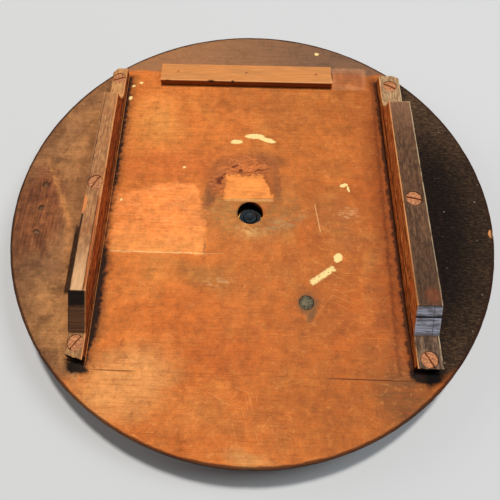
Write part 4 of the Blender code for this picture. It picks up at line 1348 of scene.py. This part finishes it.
def strip_finish():
    """Bare softwood: pale orange, worn brighter on its edges, with grey handling marks, painted shade on
    its front face, and dirt with painted shade at its foot.
    """
    g = Graph("strip_softwood", specular=0.12)
    low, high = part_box("stop_strip")
    fibre = g.noise((24.0, 0.7, 0.7), 4.0, 1.0)
    mottle = g.noise((9.0, 3.0, 3.0), 5.0, 2.0, 0.65)
    g.colour = g.mix(g.step(fibre, 0.34, 0.68), tint(208, 132, 70), tint(228, 150, 86))
    g.paint(g.step(mottle, 0.5, 0.72) * 0.35, tint(186, 116, 64))
    grey = g.step(g.noise((26.0, 6.0, 6.0), 3.0, 3.0), 0.50, 0.66)
    g.paint(grey * 0.35, tint(180, 128, 80))
    top = high.z / MM
    # painted shade: the front face under the top edge is painted darker, as it faces away from the light
    front = g.step(g.y, low.y / MM + 1.0, low.y / MM + 0.4) * g.step(g.z, top - 0.4, top - 1.0)
    g.paint(front * 0.7, tint(104, 54, 28))
    edges = g.step(g.y, low.y / MM + 1.6, low.y / MM + 0.5) * g.step(g.z, top - 1.2, top - 0.4)
    g.paint(edges * 0.6, tint(244, 178, 116))
    bruise = most(g.spot(g.x, g.z, (-40.5, top - 0.9), (3.6, 1.1), 0.0, 0.5),
                  g.spot(g.x, g.z, (-20.0, top - 0.8), (1.6, 0.8), 0.0, 0.5))
    bruise = most(bruise, g.spot(g.x, g.z, (-82.5, top - 0.9), (2.4, 0.9), 0.0, 0.5) * 0.7)
    g.paint(bruise * g.step(g.y, low.y / MM + 1.6, low.y / MM + 0.9) * 0.9, DIRT_AND_SHADE_BLACK)
    end = g.step(g.x, high.x / MM - 4.0, high.x / MM - 1.4)
    g.paint(end * g.step(mottle, 0.4, 0.6) * 0.6, tint(232, 166, 108))
    # dirt with painted shade: the sides darken at the foot, in the crease with the board
    grime_and_foot_shade = g.step(g.z, low.z / MM + 1.4, low.z / MM + 0.3)
    g.paint(grime_and_foot_shade * 0.7, tint(60, 32, 18))
    g.colour = g.scale(g.colour, 0.83 + fibre * 0.14 + mottle * 0.14)
    return g.finish(0.6 + mottle * 0.15, fibre * 0.1 + mottle * 0.08, 0.8)


# ---------------------------------------------------------------- base, feet, race and pivot

def dark_wood_finish(name, dark, light, seed):
    g = Graph(name, specular=0.4)
    fibre = g.noise((40.0, 0.9, 6.0), 4.0, seed)
    band = g.noise((130.0, 7.0, 12.0), 3.0, seed + 1, twist=0.5)
    mottle = g.noise(6.0, 4.0, seed + 2, 0.65)
    g.colour = g.mix(g.step(fibre * 0.5 + band * 0.5, 0.38, 0.62), dark, light)
    g.paint(g.step(mottle, 0.55, 0.7) * 0.4, tint(40, 24, 16))
    wear = g.step(g.noise((3.0, 3.0, 1.5), 3.0, seed + 3), 0.62, 0.7)
    g.paint(wear * 0.35, tint(150, 100, 62))
    return g.finish(0.42 + mottle * 0.2, fibre * 0.12 + mottle * 0.08, 0.7)


def metal_finish(name, dark, light, seed, roughness):
    g = Graph(name, metallic=0.9)
    turned_lines = g.noise((30.0, 30.0, 0.12), 2.0, seed)
    mottle = g.noise(2.4, 4.0, seed + 1, 0.65)
    g.colour = g.mix(g.step(mottle, 0.35, 0.68), dark, light)
    stain = g.step(g.noise(8.0, 3.0, seed + 2), 0.55, 0.68)
    g.paint(stain * 0.6, tint(70, 48, 34))
    rough = roughness + mottle * 0.18 + stain * 0.15
    return g.finish(rough, turned_lines * 0.05 + mottle * 0.05, 0.5)


def make_base(material):
    """The base board: a rounded, handled edge, and its seats for the race, pin and screws."""
    radius = BASE_HIGH.x
    low, high = BASE_LOW.z, BASE_HIGH.z
    bevel = 0.003
    profile = [(0.0, high), (radius * 0.5, high)]
    profile += arc((radius - bevel, high - bevel), bevel, (90, 70, 50, 30, 10, 0))
    profile += arc((radius - bevel, low + bevel), bevel, (0, -10, -30, -50, -70, -90))
    profile += [(radius * 0.5, low), (0.0, low)]
    obj = turned("base_disc", profile, material, 160)
    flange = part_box("pivot_pin")[1].x + CLEARANCE
    cutters = [race_seat("lower_race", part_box("lower_race")[0].z - CLEARANCE, high + 0.001),
               drum(flange, low - 0.001, low + PIN_FLANGE + CLEARANCE, steps=64),
               drum(PIN_RADIUS + CLEARANCE, low - 0.001, high + 0.001)]
    screws = [("lower_race", 4), ("foot", 4), ("pivot", 3)]
    for name, count in screws:
        cutters += [node_cutter(f"{name}_screw_{number}") for number in range(1, count + 1)]
    carve(obj, cutters)
    settle(obj, "base", "base_wood", "base_board")


def make_feet(material):
    """Four turned feet with a shallow groove round them and a countersunk screw hole."""
    for number in range(1, 5):
        node = f"foot_{number}"
        here = Stand(node)
        radius, top = here.radius, here.high.z
        waist = radius * 0.955
        profile = [(0.0, top), (radius * 0.95, top), (radius, top - 0.0005), (radius, top * 0.62),
                   (waist, top * 0.56), (waist, top * 0.48), (radius, top * 0.42), (radius, 0.0016),
                   (radius * 0.975, 0.0008), (radius * 0.93, 0.0002), (radius * 0.90, 0.0), (0.0, 0.0)]
        obj = turned(node + "_turned", profile, material, 56, matrix=here.at(0.0))
        carve(obj, [foot_screw_hole(number)])
        settle(obj, "base", "foot_wood", node)


def foot_screw_hole(number):
    here = Stand(f"foot_screw_{number}")
    head = here.radius + HEAD_CLEARANCE
    shank = head * SHANK_SHARE + CLEARANCE
    mouth = here.low.z + 0.0007
    profile = [(0.0, 0.03), (shank, 0.03), (shank, mouth + head - shank), (head, mouth),
               (head + 0.0001, -0.001), (0.0, -0.001)]
    return cutter(profile, 32, here.at(0.0))


def make_race(node, upward, body, material):
    """A grooved ring with four countersunk holes for its screws."""
    low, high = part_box(node)
    outer = high.x
    middle = (BASE_HIGH.z + UNDERSIDE) / 2
    sign = 1.0 if upward else -1.0
    face = high.z if upward else low.z
    back = low.z if upward else high.z
    opening = math.acos(abs(middle - face) / GROOVE_RADIUS)
    groove = []
    for index in range(11):
        angle = -opening + 2 * opening * index / 10
        groove.append((BALL_CIRCLE + GROOVE_RADIUS * math.sin(angle),
                       middle - sign * GROOVE_RADIUS * math.cos(angle)))
    soft = 0.0003
    if upward:
        profile = [(outer - soft, face), (outer, face - soft), (outer, back), (RACE_INNER, back),
                   (RACE_INNER, face - soft), (RACE_INNER + soft, face), *groove]
    else:
        profile = [(outer, back), (outer, face + soft), (outer - soft, face), *groove[::-1],
                   (RACE_INNER + soft, face), (RACE_INNER, face + soft), (RACE_INNER, back)]
    obj = turned(node + "_ring", profile, material, 120, closed=True)
    carve(obj, [race_screw_hole(f"{node}_screw_{number}", upward) for number in range(1, 5)])
    settle(obj, body, "steel", node)


def race_screw_hole(node, upward):
    here = Stand(node)
    head = here.radius + HEAD_CLEARANCE
    shank = head * SHANK_SHARE + CLEARANCE
    profile = [(0.0, 0.003), (head, 0.003), (head, -0.0006), (shank, -0.0006 - head + shank),
               (shank, -0.02), (0.0, -0.02)]
    return cutter(profile, 24, here.head(upward))


def make_cage(material):
    """The thin brass cage, with a round pocket for each ball and soft edges."""
    low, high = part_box("ball_cage")
    profile = soft_ring(CAGE_INNER, high.x, low.z, high.z, 0.0002)
    obj = turned("ball_cage_ring", profile, material, 120, closed=True)
    carve(obj, [node_cutter(f"ball_{number}", steps=28) for number in range(1, BALLS + 1)])
    settle(obj, "ball_cage", "brass", "ball_cage")


def make_balls(material):
    for number in range(1, BALLS + 1):
        node = f"ball_{number}"
        here = Stand(node)
        radius = here.length / 2
        angles = [math.pi * index / 14 for index in range(1, 14)]
        profile = [(radius * math.sin(angle), radius * math.cos(angle)) for angle in angles]
        profile = [(0.0, radius), *profile, (0.0, -radius)]
        obj = turned(node + "_polished", profile, material, 28, matrix=Matrix.Translation(here.centre))
        settle(obj, "ball_cage", "steel", node)


def make_pivot(steel, brass):
    """Pin, bush, washer and clip, with finer turning than their CAD solids."""
    low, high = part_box("pivot_pin")
    clip_low, clip_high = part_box("pivot_clip")
    neck = 0.0051
    soft = 0.0003
    flange_top = low.z + PIN_FLANGE
    groove_top, groove_low = clip_high.z + soft, clip_low.z - soft
    profile = [(0.0, high.z - 0.0005), (0.0009, high.z - 0.0004), (0.0016, high.z),
               (PIN_RADIUS - 0.0009, high.z), (PIN_RADIUS, high.z - 0.0008), (PIN_RADIUS, groove_top),
               (neck, groove_top), (neck, groove_low), (PIN_RADIUS, groove_low),
               (PIN_RADIUS, flange_top + 0.0006), (PIN_RADIUS + 0.0006, flange_top),
               (high.x - soft, flange_top), (high.x, flange_top - soft), (high.x, low.z + soft),
               (high.x - soft, low.z), (0.0, low.z)]
    obj = turned("pivot_pin_turned", profile, steel, 72)
    carve(obj, [race_screw_hole(f"pivot_screw_{number}", False) for number in range(1, 4)])
    settle(obj, "base", "steel", "pivot_pin")
    for node, material, slot, body in (("pivot_bush", brass, "brass", "turntable"),
                                       ("pivot_washer", steel, "steel", "base")):
        here = Stand(node)
        profile = soft_ring(PIN_RADIUS + soft, here.high.x, here.low.z, here.high.z,
                            min(0.0004, here.length * 0.25))
        settle(turned(node + "_turned", profile, material, 72, closed=True), body, slot, node)
    make_clip(steel, clip_low, clip_high)


def make_clip(material, low, high):
    """A spring clip: an open ring with rounded ears, in the pin's groove."""
    section = soft_ring(0.0054, 0.0076, low.z, high.z, 0.00015)
    gap = math.asin(0.0025 / 0.0065)
    steps = 60
    rows = []
    for index in range(steps + 1):
        angle = gap + (2 * math.pi - 2 * gap) * index / steps
        rows.append([(radius * math.cos(angle), radius * math.sin(angle), z) for radius, z in section])
    settle(loft("pivot_clip_spring", rows, material, flip=True), "base", "steel", "pivot_clip")


def make_small_screws(material):
    """The steel screws of the races, the feet and the pin's flange."""
    for number in range(1, 5):
        turn = 25.0 + 50.0 * number
        make_screw(f"lower_race_screw_{number}", turn, material, "steel", "base", True, 28)
        make_screw(f"upper_race_screw_{number}", turn, material, "steel", "turntable", False, 28)
        make_screw(f"foot_screw_{number}", 40.0 * number, material, "steel", "base", False, 32)
    for number in range(1, 4):
        make_screw(f"pivot_screw_{number}", 70.0 * number, material, "steel", "base", False, 28)


# ---------------------------------------------------------------- floor, light and camera

def make_floor():
    g = Graph("pale_floor", roughness=0.85, specular=0.2)
    cloud = g.noise(300.0, 3.0, 1.0)
    g.colour = g.mix(cloud, (0.655, 0.655, 0.655, 1.0), (0.685, 0.685, 0.685, 1.0))
    material = g.finish(None, g.noise(2.0, 2.0, 2.0) * 0.02, 0.3)
    reach = 4.0
    corners = [(-reach, -reach, 0.0), (reach, -reach, 0.0), (reach, reach, 0.0), (-reach, reach, 0.0)]
    add_piece("floor", corners, [(0, 1, 2, 3)], material)


def area_light(name, azimuth, elevation, distance, size, power, colour=(1.0, 1.0, 1.0)):
    """A square lamp aimed at the top; azimuth 0 is behind it, 90 to its left."""
    a, e = math.radians(azimuth), math.radians(elevation)
    away = Vector((-math.sin(a) * math.cos(e), math.cos(a) * math.cos(e), math.sin(e)))
    data = bpy.data.lights.new(name, "AREA")
    data.shape = "SQUARE"
    data.size = size
    data.energy = power
    data.color = colour
    obj = bpy.data.objects.new(name, data)
    obj.location = away * distance + Vector((0.0, 0.0, FACE))
    obj.rotation_mode = "QUATERNION"
    obj.rotation_quaternion = away.to_track_quat("Z", "Y")
    bpy.context.scene.collection.objects.link(obj)


def make_light():
    area_light("key", -10.0, 76.0, 6.0, 0.46, 243.0, (1.0, 0.975, 0.94))
    area_light("right_fill", -78.0, 58.0, 2.6, 0.9, 20.5, (0.86, 0.95, 1.0))
    area_light("left_fill", 80.0, 35.0, 2.4, 1.4, 11.0, (1.0, 0.98, 0.96))
    world = bpy.data.worlds.new("studio")
    world.use_nodes = True
    background = world.node_tree.nodes["Background"]
    background.inputs["Color"].default_value = (0.92, 0.95, 1.0, 1.0)
    background.inputs["Strength"].default_value = 0.08
    bpy.context.scene.world = world
    bpy.context.scene.view_settings.view_transform = "Standard"


def make_camera():
    """Nearly overhead, from the front, with a slight turn and roll."""
    azimuth, elevation, roll = math.radians(3.71), math.radians(65.15), math.radians(-1.56)
    back = Vector((math.sin(azimuth) * math.cos(elevation),
                   -math.cos(azimuth) * math.cos(elevation), math.sin(elevation)))
    level = Vector((math.cos(azimuth), math.sin(azimuth), 0.0))
    upright = back.cross(level)
    right = level * math.cos(roll) + upright * math.sin(roll)
    up = upright * math.cos(roll) - level * math.sin(roll)
    data = bpy.data.cameras.new("camera")
    data.sensor_width = 36.0
    data.lens = 37.38
    data.shift_x = 0.0436
    data.shift_y = 0.0012
    camera = bpy.data.objects.new("camera", data)
    turn = Matrix((right, up, back)).transposed().to_4x4()
    place = Vector((-0.00578, -0.21614, 0.38849 + FACE))
    camera.matrix_world = Matrix.Translation(place) @ turn
    bpy.context.scene.collection.objects.link(camera)
    bpy.context.scene.camera = camera


# ---------------------------------------------------------------- build

rust = rust_finish()
nail_iron = plug_finish("nail_filler", tint(186, 116, 62), tint(224, 148, 84))
grimy = metal_finish("grimy_steel", tint(20, 23, 26), tint(46, 54, 60), 8.0, 0.5)
steel = metal_finish("oiled_steel", tint(120, 118, 114), tint(176, 172, 166), 1.0, 0.3)
brass = metal_finish("old_brass", tint(150, 112, 52), tint(196, 154, 82), 5.0, 0.34)
base_wood = dark_wood_finish("base_hardwood", tint(66, 36, 20), tint(122, 70, 38), 1.0)
foot_wood = dark_wood_finish("foot_hardwood", tint(30, 19, 13), tint(62, 40, 26), 9.0)

make_top()
make_rail(LEFT_RAIL, rail_finish(LEFT_RAIL, LEFT_TONES))
make_rail(RIGHT_RAIL, rail_finish(RIGHT_RAIL, RIGHT_TONES))
make_rail_screws(rust)
make_strip(strip_finish())
make_nails(nail_iron)
make_plugs()
make_base(base_wood)
make_feet(foot_wood)
make_race("lower_race", True, "base", steel)
make_race("upper_race", False, "turntable", steel)
make_cage(brass)
make_balls(steel)
make_pivot(grimy, brass)
make_small_screws(steel)
make_floor()
make_light()
make_camera()
